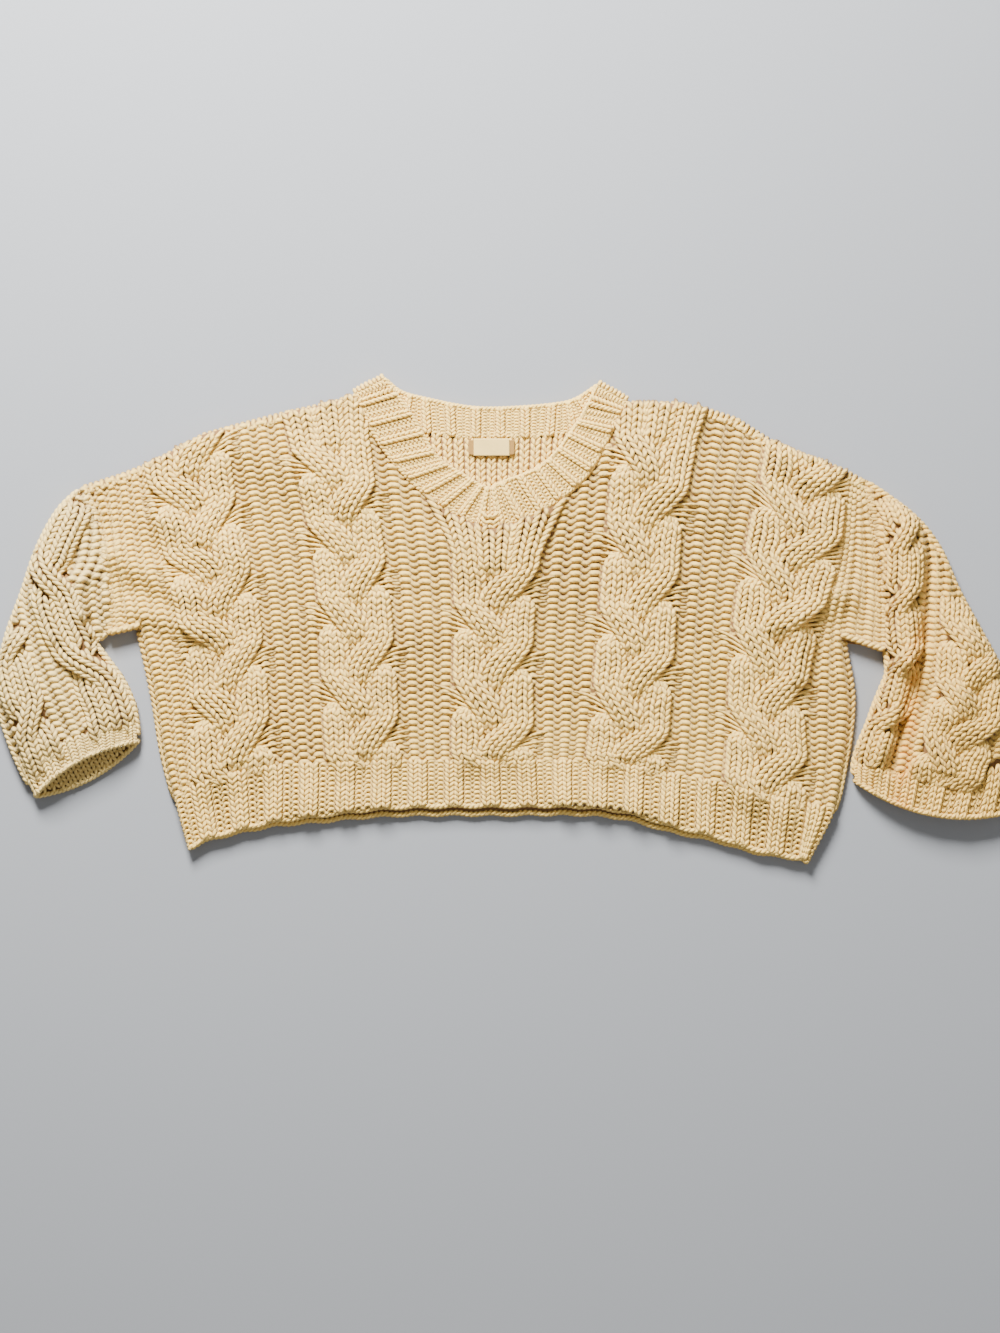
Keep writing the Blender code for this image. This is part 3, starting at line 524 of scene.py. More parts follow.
WING_LEAN = 0.10  # how far the wings' rows droop on their way to the armhole seam


def front_place(stitch, row):
    """The x and y of a stitch and row. Above the underarm, the wings reach past the side seams."""
    shape = np.shape(stitch)
    stitch, row = np.ravel(stitch), np.ravel(row)
    x, y = laid_out(np.clip(stitch, 0, FRONT_STITCHES), row)
    for side, edge, sleeve in ((-1, 0, SLEEVE_LEFT), (1, FRONT_STITCHES, SLEEVE_RIGHT)):
        beyond = np.clip(side * (stitch - edge), 0, None) / WING_STITCHES
        share = (row - UNDERARM_ROW) / (top_row(edge) - UNDERARM_ROW)
        share = share - WING_LEAN * np.sin(math.pi * np.clip(share, 0.0, 1.0))
        seam = section_point(sleeve[0], side, np.clip(1 - share, 0.0, 1.0))
        x = x + (seam[:, 0] - x) * beyond
        y = y + (seam[:, 1] - y) * beyond
    return x.reshape(shape), y.reshape(shape)


def front_ground(x, y):
    """Height of the plain front, with its folds and a little unevenness."""
    uneven = 0.5 * np.sin(x / 37.0 + 1.3) * np.sin(y / 29.0) + 0.3 * np.sin(x / 17.0 - y / 23.0)
    return GROUND + fold_height(x, y, FRONT_FOLDS) + uneven


# The plaits. A strand waits at one side, goes under to the middle, and then over to the other.
CROSS_HALF = 3.2  # half of the rows that a crossing takes
OVER_RISE = 2.4
UNDER_DROP = 3.6
PLAIT_RISE = 5.0
STRAND_SPAN = 0.57
DRAWN_IN = 0.22  # how far a crossing pulls its strands to the plait's middle, as a share
CROSS_SPREAD = 0.42  # how much wider a strand lies where it slants over or under
WAIT_SPREAD = 0.22  # and beside a crossing of the other two
LAST_CROSSINGS = (99, 50.2, 32.2, 50.2, 99)  # no plait crosses again above this row
TOP_FLARES = (0, 0.15, 0.36, 0.15, 0)  # how much the plaits widen above it, as a share
FLARE_ROWS = 10.0
UNDER_HALF = 1.5  # the strand below slips across quickly, hidden by the one above it
UNDER_TAPER = 0.30
STRAND_WIDTH = 27.0
BURIED = 0.42  # a strand hides what lies nearer to its middle than this, in strands


def swing(rows, half=CROSS_HALF):
    share = np.clip(rows / (2 * half) + 0.5, 0.0, 1.0)
    return share * share * (3 - 2 * share)


def slip(rows):
    return swing(rows, UNDER_HALF)


def bump(rows, half=CROSS_HALF):
    return np.clip(1 - (rows / (1.25 * half)) ** 2, 0.0, 1.0) ** 1.5


def sunk(rows):
    return bump(rows, 0.8 * CROSS_HALF)


def strand_at(row, strand):
    """Where a strand's middle lies, in strands, how far it goes over or under, and its spread."""
    half = CROSSING_ROWS / 2
    on = np.mod(row - FIRST_CROSSING_ROW - CROSSING_ROWS * strand + half, 6 * half) - half
    place = slip(on + half) - 1 + swing(on) - slip(on - 2 * half)
    place = place - swing(on - 3 * half) + slip(on - 5 * half)
    over = bump(on) + bump(on - 3 * half)
    under = sunk(on + half) + sunk(on - 2 * half) + sunk(on - 5 * half)
    beside = bump(on - half) + bump(on - 4 * half)
    place = place * (1 - DRAWN_IN * (over + under) - DRAWN_IN / 2 * beside)
    return place, over - under, 1 + CROSS_SPREAD * over - UNDER_TAPER * under + WAIT_SPREAD * beside


def strand_height(offset, over, spread):
    """Height over the ground at offset from a strand's middle."""
    dome = np.sqrt(np.clip(1 - (offset / spread / STRAND_SPAN) ** 2, 0.0, 1.0))
    return PLAIT_RISE * dome + np.where(over > 0, OVER_RISE, UNDER_DROP) * over


def twist_at(row, strand):
    """The same for a rope of two strands that always cross the same way."""
    on = np.mod(row - FIRST_CROSSING_ROW + CROSSING_ROWS * (strand - 0.5), 2 * CROSSING_ROWS)
    on = on - CROSSING_ROWS / 2
    place = swing(on) - swing(on - CROSSING_ROWS) - 0.5
    over, under = bump(on), bump(on - CROSSING_ROWS)
    return place * (1 - 0.5 * DRAWN_IN * (over + under)), over - under, 1 + 0.2 * (over + under)


Cable = namedtuple("Cable", "rule strands wales")
PLAIT = Cable(strand_at, 3, (-1 / 3, 0.0, 1 / 3))
TWIST = Cable(twist_at, 2, (-0.26, 0.26))


def settled(row):
    """How fully the plaits stand out at a row. They sink into the ribbing of the hem."""
    return np.clip((row + 2.8) / 4.6, 0.0, 1.0)


def cable_surface(cable, across, row, last=99):
    """Height of a whole cable over the ground. across is in strands from its middle."""
    row = np.minimum(row, last)
    height = np.zeros_like(across)
    for strand in range(cable.strands):
        place, over, spread = cable.rule(row, strand)
        offset = across - place
        height_here = strand_height(offset, over, spread)
        own = np.where(np.abs(offset) < STRAND_SPAN * spread, height_here, 0.0)
        height = np.maximum(height, own)
    return height


def cable_legs(cable, rows, last=99, pace=1.0, phase=0.0):
    """Across and row positions, heights, thickness and crests of a cable's visible legs."""
    gathered = []
    wale_width = 1.0 / len(cable.wales)
    middle = np.minimum(rows, last) * pace + phase
    row = rows[:, None, None] + LEG_ALONG
    turn = np.minimum(row, last) * pace + phase
    for strand in range(cable.strands):
        place, over, spread = cable.rule(turn, strand)
        own_place, own_over, own_spread = cable.rule(middle, strand)
        rivals = [cable.rule(middle, other) for other in range(cable.strands) if other != strand]
        for wale in cable.wales:
            offset = (wale + LEG_OUT * wale_width) * spread
            height = strand_height(offset, over, spread)
            across = place + offset
            shown = np.ones(len(rows), bool)
            for rival_place, rival_over, rival_spread in rivals:
                gap = np.abs(own_place + wale * own_spread - rival_place)
                shown &= (gap >= BURIED * rival_spread) | (rival_over <= own_over + 0.9)
            slope = np.gradient(across, axis=2) / np.gradient(row, axis=2)
            lean = 1 / np.sqrt(1 + (slope * STRAND_WIDTH / ROW_PITCH) ** 2)
            radius = LEG_THICK * (0.62 + 0.38 * lean)
            leg = np.stack((across, row, height + LEG_LIFT, radius, height))
            gathered.append(leg[:, shown].reshape(5, -1, LEG_STEPS))
    return np.concatenate(gathered, axis=1)


def flare(start, row):
    """How much wider than itself a plait spreads at a row, above its last crossing."""
    number = PLAIT_STARTS.index(start)
    above = np.clip((row - LAST_CROSSINGS[number] - 1.5) / FLARE_ROWS, 0.0, 1.3)
    return 1 + TOP_FLARES[number] * above


def plait_relief(stitch, row):
    """Height of the front's plaits over its ground."""
    relief = np.zeros_like(stitch)
    for start, last in zip(PLAIT_STARTS, LAST_CROSSINGS):
        across = (stitch - start - PLAIT_STITCHES / 2) / STRAND_STITCHES / flare(start, row)
        relief = np.maximum(relief, cable_surface(PLAIT, across, np.maximum(row, 0.0), last))
    return relief * settled(row)


def front_plaits(knitting, starts):
    for start in starts:
        last = LAST_CROSSINGS[PLAIT_STARTS.index(start)]
        rows = np.arange(0.1, TALLEST, 1.0)
        across, row, height, radius, crest = cable_legs(PLAIT, rows, last)
        stitch = start + PLAIT_STITCHES / 2 + STRAND_STITCHES * across * flare(start, row)
        keep = (row.max(axis=1) < top_row(stitch.mean(axis=1)) + 0.6)
        stitch, row, height, radius, crest = (
            part[keep] for part in (stitch, row, height, radius, crest)
        )
        x, y = front_place(stitch, row)
        ground = front_ground(x, y)
        wobble = SOFT_RANDOM.normal(0, 0.22, (len(x), 1))
        thick = YARN * 1.08 * SOFT_RANDOM.uniform(0.93, 1.07, (len(x), 1))
        past = np.clip(row - top_row(stitch) + 0.4, 0.0, None)
        z = ground + height * settled(row) - YARN + wobble - past * 5.0
        crest = ground + crest * settled(row) + 1.2
        knitting.lay(np.stack((x, y, z), axis=-1), radius * thick, crest)


PULLED = 1.4  # radius of the pulled yarns
# Where each one starts: across from the plait's middle, in strands, and over its crossing, in
# rows. The last column is the row at which it goes under the plait.
PULLED_YARNS = (
    (1.95, 1.7, 0.2), (1.85, 0.7, -0.1), (1.8, -0.3, -0.5), (1.75, -1.3, -0.9), (1.8, -2.3, -1.4),
)


def pulled_yarns(knitting, starts):
    """The few long yarns that each crossing pulls out of the purl beside it."""
    for start in starts:
        last = LAST_CROSSINGS[PLAIT_STARTS.index(start)]
        middle = start + PLAIT_STITCHES / 2
        for number in range(14):
            row = FIRST_CROSSING_ROW + number * CROSSING_ROWS / 2
            side = 1 if number % 2 == 0 else -1
            if row > min(last + 1, top_row(middle + 3 * side) - 2):
                continue
            for out, rise, inner in PULLED_YARNS:
                out = out + SOFT_RANDOM.uniform(-0.1, 0.1)
                share = np.linspace(0.0, 1.0, 8)
                across = side * (out + (0.62 - out) * share)
                level = row + rise + (inner - 1.2 - rise) * share**1.3
                x, y = front_place(middle + STRAND_STITCHES * across, level)
                ground = front_ground(x, y)
                z = ground - 2.6 + 4.2 * np.sin(share * 1.9) + SOFT_RANDOM.normal(0, 0.15)
                knitting.cord(np.stack((x, y, z), axis=1), PULLED, ground + 2.2)


PURL_BANDS = ((12, 16), (25, 29), (38, 42), (51, 55))
PURL_SWAY = (0.88, 1.12)  # how much the wave of a purl cord varies from row to row
PURL_BELOW = 0.6  # mm that a purl cord's top lies below the ground on average
SIDE_ROLL = 0.45  # how far inside a side seam the rows begin to turn down, in stitches
ROLL_DROP = 3.2
SEAM_SHARE = 0.985  # rows of the wings end here, as a share of the armhole
TUCK = 0.75  # how far a purl cord runs on under the plait beside it, in stitches


def purl_rows(knitting, start, end):
    """Cords of purl bumps between two stitches, row by row up to the top edge."""
    for row in np.arange(LOWEST_PURL_ROW, TALLEST, 1.0):
        stitch, wave, bulge = purl_wave(0.0, (end - start) * PURL_GAUGE)
        stitch = start + stitch / PURL_GAUGE
        level = row + wave * SOFT_RANDOM.uniform(*PURL_SWAY)
        inside = level < top_row(stitch) - 0.1
        for first, last in runs(inside):
            if last - first < SHORTEST_CORD:
                continue
            part = slice(first, last)
            x, y = front_place(stitch[part], level[part])
            ground = front_ground(x, y)
            z = ground - PURL_YARN - PURL_BELOW + bulge[part] + SOFT_RANDOM.normal(0, 0.12)
            radius = PURL_YARN * SOFT_RANDOM.uniform(*EVEN)
            knitting.cord(np.stack((x, y, z), axis=1), radius, ground + 0.6)


def side_rows(knitting, side):
    """Purl rows between a side seam or an armhole and the plait beside it.

    Below the underarm each row turns down over the side seam."""
    edge = 0 if side < 0 else FRONT_STITCHES
    for row in np.arange(LOWEST_PURL_ROW, TALLEST, 1.0):
        low = row < UNDERARM_ROW + 0.5
        reach = 0.15 if low else WING_STITCHES + 0.1
        stitch, wave, bulge = purl_wave(-reach * PURL_GAUGE, (3 + TUCK) * PURL_GAUGE)
        stitch = stitch / PURL_GAUGE
        level = row + wave * SOFT_RANDOM.uniform(*PURL_SWAY)
        if side > 0:
            stitch = FRONT_STITCHES - stitch
        share = (level - UNDERARM_ROW) / (top_row(edge) - UNDERARM_ROW)
        inside = (level < top_row(stitch) - 0.1) & (share < SEAM_SHARE)
        for first, last in runs(inside):
            if last - first < SHORTEST_CORD:
                continue
            part = slice(first, last)
            x, y = front_place(stitch[part], level[part])
            ground = front_ground(x, y)
            from_side = side * (edge - stitch[part])
            roll = np.clip(1 - from_side / SIDE_ROLL, 0.0, 1.0) if low else 0 * x
            z = ground - PURL_YARN - PURL_BELOW + bulge[part] - ROLL_DROP * roll**2
            path = np.stack((x, y, z), axis=1)
            if low and first == 0:
                path = np.concatenate((side_turn(path[0], side), path))
            crest = front_ground(path[:, 0], path[:, 1]) + 0.6
            crest = np.minimum(crest, path[:, 2] + PURL_YARN + 1)
            knitting.cord(path, PURL_YARN * SOFT_RANDOM.uniform(*EVEN), crest)


def side_turn(start, side):
    """A row's yarn turning down over a side seam, listed from below."""
    drop = np.array(((-3.0, 0.0, -7.5), (0.5, 0.0, -6.2), (2.2, 0.0, -4.0), (1.8, 0.0, -1.7)))
    turned = start + drop * (side, 1, 1)
    turned[:, 2] = np.maximum(turned[:, 2], 1.9)
    return turned


# ---- Hem ------------------------------------------------------------------------------------
HEM_ROW_STEP = 0.72  # the ribbing is knitted tighter: its rows are this far apart, in rows
RIB_AT = -119.0
RIB_PITCH = 34.4
RIB_WALE = 8.4  # width of one wale of the hem's ribs
RIB_RISE = 1.6
HEM_YARN = 1.95
HEM_BUMP = 8.8  # width of one purl bump between the ribs


def hem_stitch(x):
    """The stitch that meets the hem's upper edge at x."""
    edges = laid_out(np.array(SEAM_STITCHES, float), np.zeros(len(SEAM_STITCHES)))[0]
    return np.interp(x, edges, SEAM_STITCHES)


def hem_place(x, row):
    """A place on the hem: x is where its wale meets the hem's upper edge."""
    return front_place(hem_stitch(x), row)


def hem_ground(x, row, share):
    """Places on the hem with a share of the plaits' relief, which runs out into it."""
    shape = x.shape
    place_x, place_y = hem_place(x.ravel(), row.ravel())
    place_x, place_y = place_x.reshape(shape), place_y.reshape(shape)
    relief = plait_relief(hem_stitch(x), row)
    return place_x, place_y, front_ground(place_x, place_y) + share * relief


def hem_ribs(knitting):
    left, right = GUIDES[1].left, GUIDES[1].right
    rows = np.arange(-HEM_ROWS + 0.7, 0.5, HEM_ROW_STEP)
    first = math.floor((left - RIB_AT) / RIB_PITCH)
    last = math.ceil((right - RIB_AT) / RIB_PITCH)
    for rib in range(first, last + 1):
        middle = RIB_AT + rib * RIB_PITCH
        for centre in (middle - 0.5 * RIB_WALE, middle + 0.5 * RIB_WALE):
            if not left + 2 < centre < right - 2:
                continue
            x = centre + LEG_OUT * RIB_WALE * 1.05 + 0 * rows[:, None, None]
            row = rows[:, None, None] + LEG_ALONG * HEM_ROW_STEP
            place_x, place_y, ground = hem_ground(x, row, 0.8)
            z = ground + RIB_RISE + LEG_LIFT * 0.85 - YARN + 0.2
            path = np.stack((place_x, place_y, z), axis=-1)
            knitting.lay(path, LEG_THICK * HEM_YARN, ground + RIB_RISE + 0.6)
        start = max(middle + RIB_WALE, left)
        end = min(middle + RIB_PITCH - RIB_WALE, right)
        if end - start < 6:
            continue
        bumps = max(1, round((end - start) / HEM_BUMP))
        for row in rows:
            share, wave, bulge = purl_wave(-0.1, bumps + 0.1, 7)
            level = row + 1.4 * wave * HEM_ROW_STEP
            place_x, place_y, ground = hem_ground(start + (end - start) * share / bumps, level, 0.9)
            z = ground - 2.2 + bulge * 0.7
            knitting.cord(np.stack((place_x, place_y, z), axis=1), HEM_YARN, ground + 0.4)


def rope(knitting, line, radius, pitch, crest=None):
    """Two strands that twist round each other along a line."""
    length = lengths(line)
    count = max(8, int(length[-1] / pitch * 8))
    at = np.linspace(0, length[-1], count)
    middle = np.stack([np.interp(at, length, line[:, axis]) for axis in range(3)], axis=1)
    ahead = unit(np.gradient(middle, axis=0))
    aside = unit(np.cross(ahead, (0.0, 0.0, 1.0)))
    over = np.cross(aside, ahead)
    for strand in (0.0, math.pi):
        turn = 2 * math.pi * at / pitch + strand
        away = np.cos(turn)[:, None] * aside + np.sin(turn)[:, None] * over
        knitting.cord(middle + 0.62 * radius * away, radius, crest)


def hem_sag(x, drop):
    """How far a hem hangs below its place on the front: drop at its middle, none at its ends."""
    half = (GUIDES[0].right - GUIDES[0].left) / 2
    middle = (GUIDES[0].right + GUIDES[0].left) / 2
    return drop * np.clip(1 - ((x - middle) / half) ** 2, 0.0, 1.0)


def hem_edge(knitting, drop, height):
    """The cast-on edge, a rope along the bottom of a panel."""
    x = np.linspace(GUIDES[1].left, GUIDES[1].right, 150)
    place_x, place_y = hem_place(x, np.full(len(x), -HEM_ROWS + 0.25))
    scallop = 0.9 * np.cos(2 * math.pi * (x - RIB_AT) / RIB_PITCH)
    place_y = place_y - hem_sag(place_x, drop) + scallop
    rope(knitting, np.stack((place_x, place_y, np.full(len(x), height)), axis=1), 1.9, 9.5)


# ---- Shoulder edges -------------------------------------------------------------------------
WRAP_SPACING = 5.4
WRAP_STEPS = 9
WRAP_LOW = 2.4  # height at which a wrap ends, under the edge
WRAP_REACH = 5.0  # how far it starts in from the edge, on the front
WRAP_BULGE = 3.4


def shoulder_wraps(knitting, line):
    """Yarn that turns over a shoulder from the top of the front to the back, evenly spaced."""
    line = np.array(line, float)
    length = lengths(line)
    at = np.arange(WRAP_SPACING / 2, length[-1], WRAP_SPACING)
    spots = np.stack([np.interp(at, length, line[:, axis]) for axis in range(2)], axis=1)
    slope = [np.interp(at, length, np.gradient(line[:, axis], length)) for axis in range(2)]
    ahead = unit(np.stack(slope, axis=1))
    out = np.stack((-ahead[:, 1], ahead[:, 0]), axis=1)
    high = front_ground(spots[:, 0], spots[:, 1]) - YARN
    turn = np.linspace(-0.15, 1.0, WRAP_STEPS) * math.pi
    bent = np.clip(turn, 0, math.pi)
    start = WRAP_REACH * np.clip(-np.linspace(-1.0, 1.0, WRAP_STEPS), 0, 1) ** 1.5
    shift = WRAP_BULGE * (np.sin(bent) - 1) - np.where(turn < 0.3, start, 0)
    z = ((high + WRAP_LOW) / 2)[:, None] + ((high - WRAP_LOW) / 2)[:, None] * np.cos(bent)
    plan = spots[:, None] + shift[:, None] * out[:, None]
    plan = plan + ahead[:, None] * np.linspace(-1.2, 1.2, WRAP_STEPS)[:, None]
    path = np.concatenate((plan, z[..., None]), axis=2)
    knitting.lay(path, YARN * 1.02, (high + YARN + 0.4)[:, None])


# ---- Shells under the yarn ------------------------------------------------------------------
SHELL_SINK = 3.9  # how far a shell lies below the outer face of its stitches
SHELL_RELIEF = 0.86  # share of the plaits' height that it follows


def grid_faces(number):
    """Four-cornered faces between the numbers of a grid's points."""
    faces = np.stack((number[:-1, :-1], number[1:, :-1], number[1:, 1:], number[:-1, 1:]), axis=-1)
    return faces.reshape(-1, 4)


def grid_mesh(name, upper, lower, material):
    """A closed shell from the upper and the lower grid of its points, columns by rows by 3."""
    columns, rows, _ = upper.shape
    points = np.concatenate((upper.reshape(-1, 3), lower.reshape(-1, 3)))
    count = columns * rows
    number = np.arange(count).reshape(columns, rows)
    quads = grid_faces(number)
    rim = np.concatenate((number[:, 0], number[-1, 1:], number[-2::-1, -1], number[0, -2:0:-1]))
    walls = np.stack((np.roll(rim, -1), rim, rim + count, np.roll(rim, -1) + count), axis=1)
    faces = np.concatenate((quads, quads[:, ::-1] + count, walls))
    return closed_mesh(name, points, faces, material, np.repeat((0.0, 1.0), count))


def closed_mesh(name, points, faces, material, below):
    """A piece from its points and faces. below is 1 where the outside of the cloth shows."""
    mesh = bare_mesh(name, np.asarray(points), (faces,))
    mesh.validate()
    outside = mesh.attributes.new("below", "FLOAT", "POINT")
    outside.data.foreach_set("value", below)
    return dress(name, mesh, material)


def panel_grid(line_row, columns, levels):
    """Stitch and row of a panel shell's points, wings included above the underarm."""
    reach = WING_STITCHES - 0.05
    stitches = np.linspace(-reach, FRONT_STITCHES + reach, columns)
    share = np.linspace(0.0, 1.0, levels)
    top = line_row(np.clip(stitches, 0, FRONT_STITCHES)) - 0.15
    rows = -HEM_ROWS + 0.1 + share[None] * (top[:, None] + HEM_ROWS - 0.1)
    stitch = np.repeat(stitches[:, None], len(share), axis=1)
    low = rows < UNDERARM_ROW
    return np.where(low, np.clip(stitch, 0.1, FRONT_STITCHES - 0.1), stitch), rows


def front_shell(material):
    stitch, row = panel_grid(top_row, 124, 72)
    x, y = front_place(stitch, row)
    ground = front_ground(x, y)
    relief = plait_relief(stitch, row)
    relief = np.where(row > 0, relief, np.maximum(relief, RIB_RISE * 0.4))
    upper = np.stack((x, y, ground - SHELL_SINK + SHELL_RELIEF * relief), axis=-1)
    lower = np.stack((x, y, ground - WALL), axis=-1)
    return grid_mesh("front_cloth", upper, lower, material)


# ---- Back -----------------------------------------------------------------------------------
BACK_LINE = top_line((BACK_BAND,))
BACK_ROWS = last_row(TOP_STITCHES, BACK_LINE)
BACK_TOP, BACK_BOTTOM = 3.0, 0.1  # heights of its shell
INSIDE_WALE = 9.6  # width of one wale where the inside of the back shows
INSIDE_MIDDLE = -14.5
INSIDE_WALES = 11  # on each side of the middle
INSIDE_ROWS = 16
INSIDE_TOP = 178.0
INSIDE_LIFT = 2.7
INSIDE_FAN = 0.0012  # how much the wales spread for each mm up
OPEN_NECK = (-16.0, 84.0, 0.62)  # its lowest point, and how steeply it opens


def back_shell(material):
    stitch, row = panel_grid(lambda at: np.interp(at, TOP_STITCHES, BACK_ROWS), 64, 40)
    x, y = front_place(stitch, row)
    y = y - hem_sag(x, BACK_HEM_DROP) * np.clip(-row / HEM_ROWS, 0.0, 1.0)
    upper, lower = (
        np.stack((x, y, np.full_like(x, level)), axis=-1) for level in (BACK_TOP, BACK_BOTTOM)
    )
    return grid_mesh("back_cloth", upper, lower, material)


def back_inside(knitting):
    """Knit wales on the inside of the back, where the neck opens."""
    y = INSIDE_TOP - ROW_PITCH * (np.arange(INSIDE_ROWS) + 0.5)
    neck_x, neck_y, steep = OPEN_NECK
    for wale in range(-INSIDE_WALES, INSIDE_WALES + 1):
        middle = INSIDE_MIDDLE + wale * INSIDE_WALE * (1 + INSIDE_FAN * (y - y[-1]))
        x = middle[:, None, None] + LEG_OUT * INSIDE_WALE
        place_y = np.broadcast_to(y[:, None, None] + LEG_ALONG * ROW_PITCH, x.shape)
        z = np.broadcast_to(INSIDE_LIFT + 0.55 * LEG_LIFT, x.shape)
        path = np.stack((x, place_y, z), axis=-1).reshape(-1, LEG_STEPS, 3)
        shown = path[:, 3, 1] > neck_y + steep * np.abs(path[:, 3, 0] - neck_x)
        knitting.lay(path[shown], LEG_THICK * 2.0, 4.9)


# ---- Neckband -------------------------------------------------------------------------------
BAND_ROWS = 8
BAND_WALE = 7.6
BAND_YARN = 1.5
BAND_LINES = 10
BAND_BUMP = 6.0  # width of one purl bump between the ribs
BAND_SHELL_HALF = 1.0  # half of the thickness of the cloth under its yarn
BAND_SHELL_SINK = 0.4
BAND_STATIONS = 48


def band_place(table, share, across):
    """The x and y at a share of the way along a band and across it, from its free edge."""
    free, seam = band_edges(table, share)
    return (free + across[:, None] * (seam - free)).T


def band_length(table):
    middle = [((row.seam_x + row.free_x) / 2, (row.seam_y + row.free_y) / 2) for row in table]
    return lengths(middle)[-1]


def band_yarn(knitting, table, ribs, height):
    """The ribs of one stretch of the neckband. height gives its outer face at a share along it."""
    length = band_length(table)
    rows = (np.arange(BAND_ROWS) + 0.5) / BAND_ROWS
    for rib in range(ribs):
        middle = (rib + 0.5) / ribs
        share = middle + LEG_OUT * BAND_WALE / length + 0 * rows[:, None, None]
        across = np.clip(1 - (rows[:, None, None] + LEG_ALONG / BAND_ROWS), 0.02, 0.98)
        x, y = band_place(table, share.ravel(), across.ravel())
        z = height(share) + 1.2 + LEG_LIFT * 0.7 - BAND_YARN
        path = np.stack((x.reshape(share.shape), y.reshape(share.shape), z), axis=-1)
        knitting.lay(path, LEG_THICK * 1.75, height(share) + 1.4)
    for gap in range(ribs + 1):
        start = max(0.0, (gap - 0.5) / ribs + BAND_WALE * 0.5 / length)
        end = min(1.0, (gap + 0.5) / ribs - BAND_WALE * 0.5 / length)
        bumps = max(1, round((end - start) * length / BAND_BUMP))
        for row in np.linspace(0.05, 0.97, BAND_LINES):
            place, wave, bulge = purl_wave(-0.1, bumps + 0.1, 7)
            share = np.clip(start + (end - start) * place / bumps, 0.0, 1.0)
            x, y = band_place(table, share, np.clip(row - wave * 1.5 / BAND_LINES, 0, 1))
            z = height(share) - 1.6 + 0.55 * bulge
            knitting.cord(np.stack((x, y, z), axis=1), BAND_YARN, height(share) + 0.5)


def band_edge(knitting, table, across, level, radius):
    """A rope of small stitches along a band's free edge or its sewn one."""
    share = np.linspace(0.0, 1.0, 70)
    x, y = band_place(table, share, np.full(len(share), across))
    rope(knitting, np.stack((x, y, level), axis=1), radius, 8.0)


def front_band_height(share):
    return BAND_TIP_LIFT + (BAND_LIFT - BAND_TIP_LIFT) * share + BAND_THICK / 2


def right_band_height(share):
    return front_band_height(1 - share)


def back_band_height(share):
    return BACK_BAND_LIFT + BAND_THICK / 2 + 0 * share


# The stretches of the neckband, the radius of the rope along each free edge, and the side that
# the stretch's outer face is on.
Stretch = namedtuple("Stretch", "table ribs height rope_radius facing")
STRETCHES = (
    Stretch(FRONT_BAND_LEFT, FRONT_BAND_RIBS, front_band_height, 1.5, 1),
    Stretch(FRONT_BAND_RIGHT, FRONT_BAND_RIBS, right_band_height, 1.5, 1),
    Stretch(BACK_BAND, BACK_BAND_RIBS, back_band_height, 1.6, -1),
)
LEFT_TIP, RIGHT_TIP = FRONT_BAND_LEFT[0], FRONT_BAND_RIGHT[-1]


def band_ribs(knitting):
    for stretch in STRETCHES:
        band_yarn(knitting, stretch.table, stretch.ribs, stretch.height)
    for tip in (LEFT_TIP, RIGHT_TIP):
        shoulder_turn_yarn(knitting, tip)
    share = np.linspace(0.0, 1.0, 70)
    for stretch in STRETCHES:
        level = stretch.height(share) - 1.6
        band_edge(knitting, stretch.table, 0.02, level, stretch.rope_radius)
    for stretch in STRETCHES[:2]:
        band_edge(knitting, stretch.table, 1.0, stretch.height(share) - 3.2, 2.0)
    mitre(knitting)


def band_shell(material):
    """The cloth of the neckband, a flat ring that folds over at both shoulders."""
    stations = []
    share = np.linspace(0.0, 1.0, BAND_STATIONS)
    for table, _, height, _, facing in STRETCHES:
        middle = height(share) - BAND_THICK / 2 - BAND_SHELL_SINK
        turn = np.array((0.0, 0.0, facing))
        block = [
            (free, seam, np.array((0.0, 0.0, level)), turn)
            for free, seam, level in zip(*band_edges(table, share), middle)
        ]
        stations.append(block[::facing])
    ring = stations[0] + stations[1][1:] + shoulder_turn(RIGHT_TIP)
    ring += stations[2] + shoulder_turn(LEFT_TIP)[::-1]
    points = []
    across_steps = np.linspace(0.03, 0.97, 7)
    for free, seam, shift, turn in ring:
        for side in (1, -1):
            for across in across_steps[::side]:
                plan = free + across * (seam - free)
                points.append(np.array((*plan, 0.0)) + shift + side * BAND_SHELL_HALF * turn)
    number = np.arange(len(points)).reshape(len(ring), -1)
    beside, ahead = np.roll(number, -1, axis=1), np.roll(number, -1, axis=0)
    faces = np.stack((number, beside, np.roll(beside, -1, axis=0), ahead), axis=-1).reshape(-1, 4)
    return closed_mesh("band_cloth", points, faces, material, np.zeros(len(points)))


def tip_fold(row):
    """Both edges of the band where it folds over a shoulder, and the way out from there."""
    free = np.array((row.free_x, row.free_y), float)
    seam = np.array((row.seam_x, row.seam_y), float)
    along = unit(seam - free)
    return free, seam, np.array((-along[1], along[0])) * math.copysign(1.0, along[0])


def shoulder_turn(row):
    """Stations of the band's cloth over a shoulder, from the front to the back."""
    free, seam, out = tip_fold(row)
    radius = (BAND_TIP_LIFT - BACK_BAND_LIFT) / 2
    middle = (BAND_TIP_LIFT + BACK_BAND_LIFT) / 2 - BAND_SHELL_SINK
    stations = []
    for angle in np.linspace(0.0, math.pi, 8)[1:-1]:
        turn = np.array((*(out * math.sin(angle)), math.cos(angle)))
        stations.append((free, seam, radius * turn + (0.0, 0.0, middle), turn))
    return stations


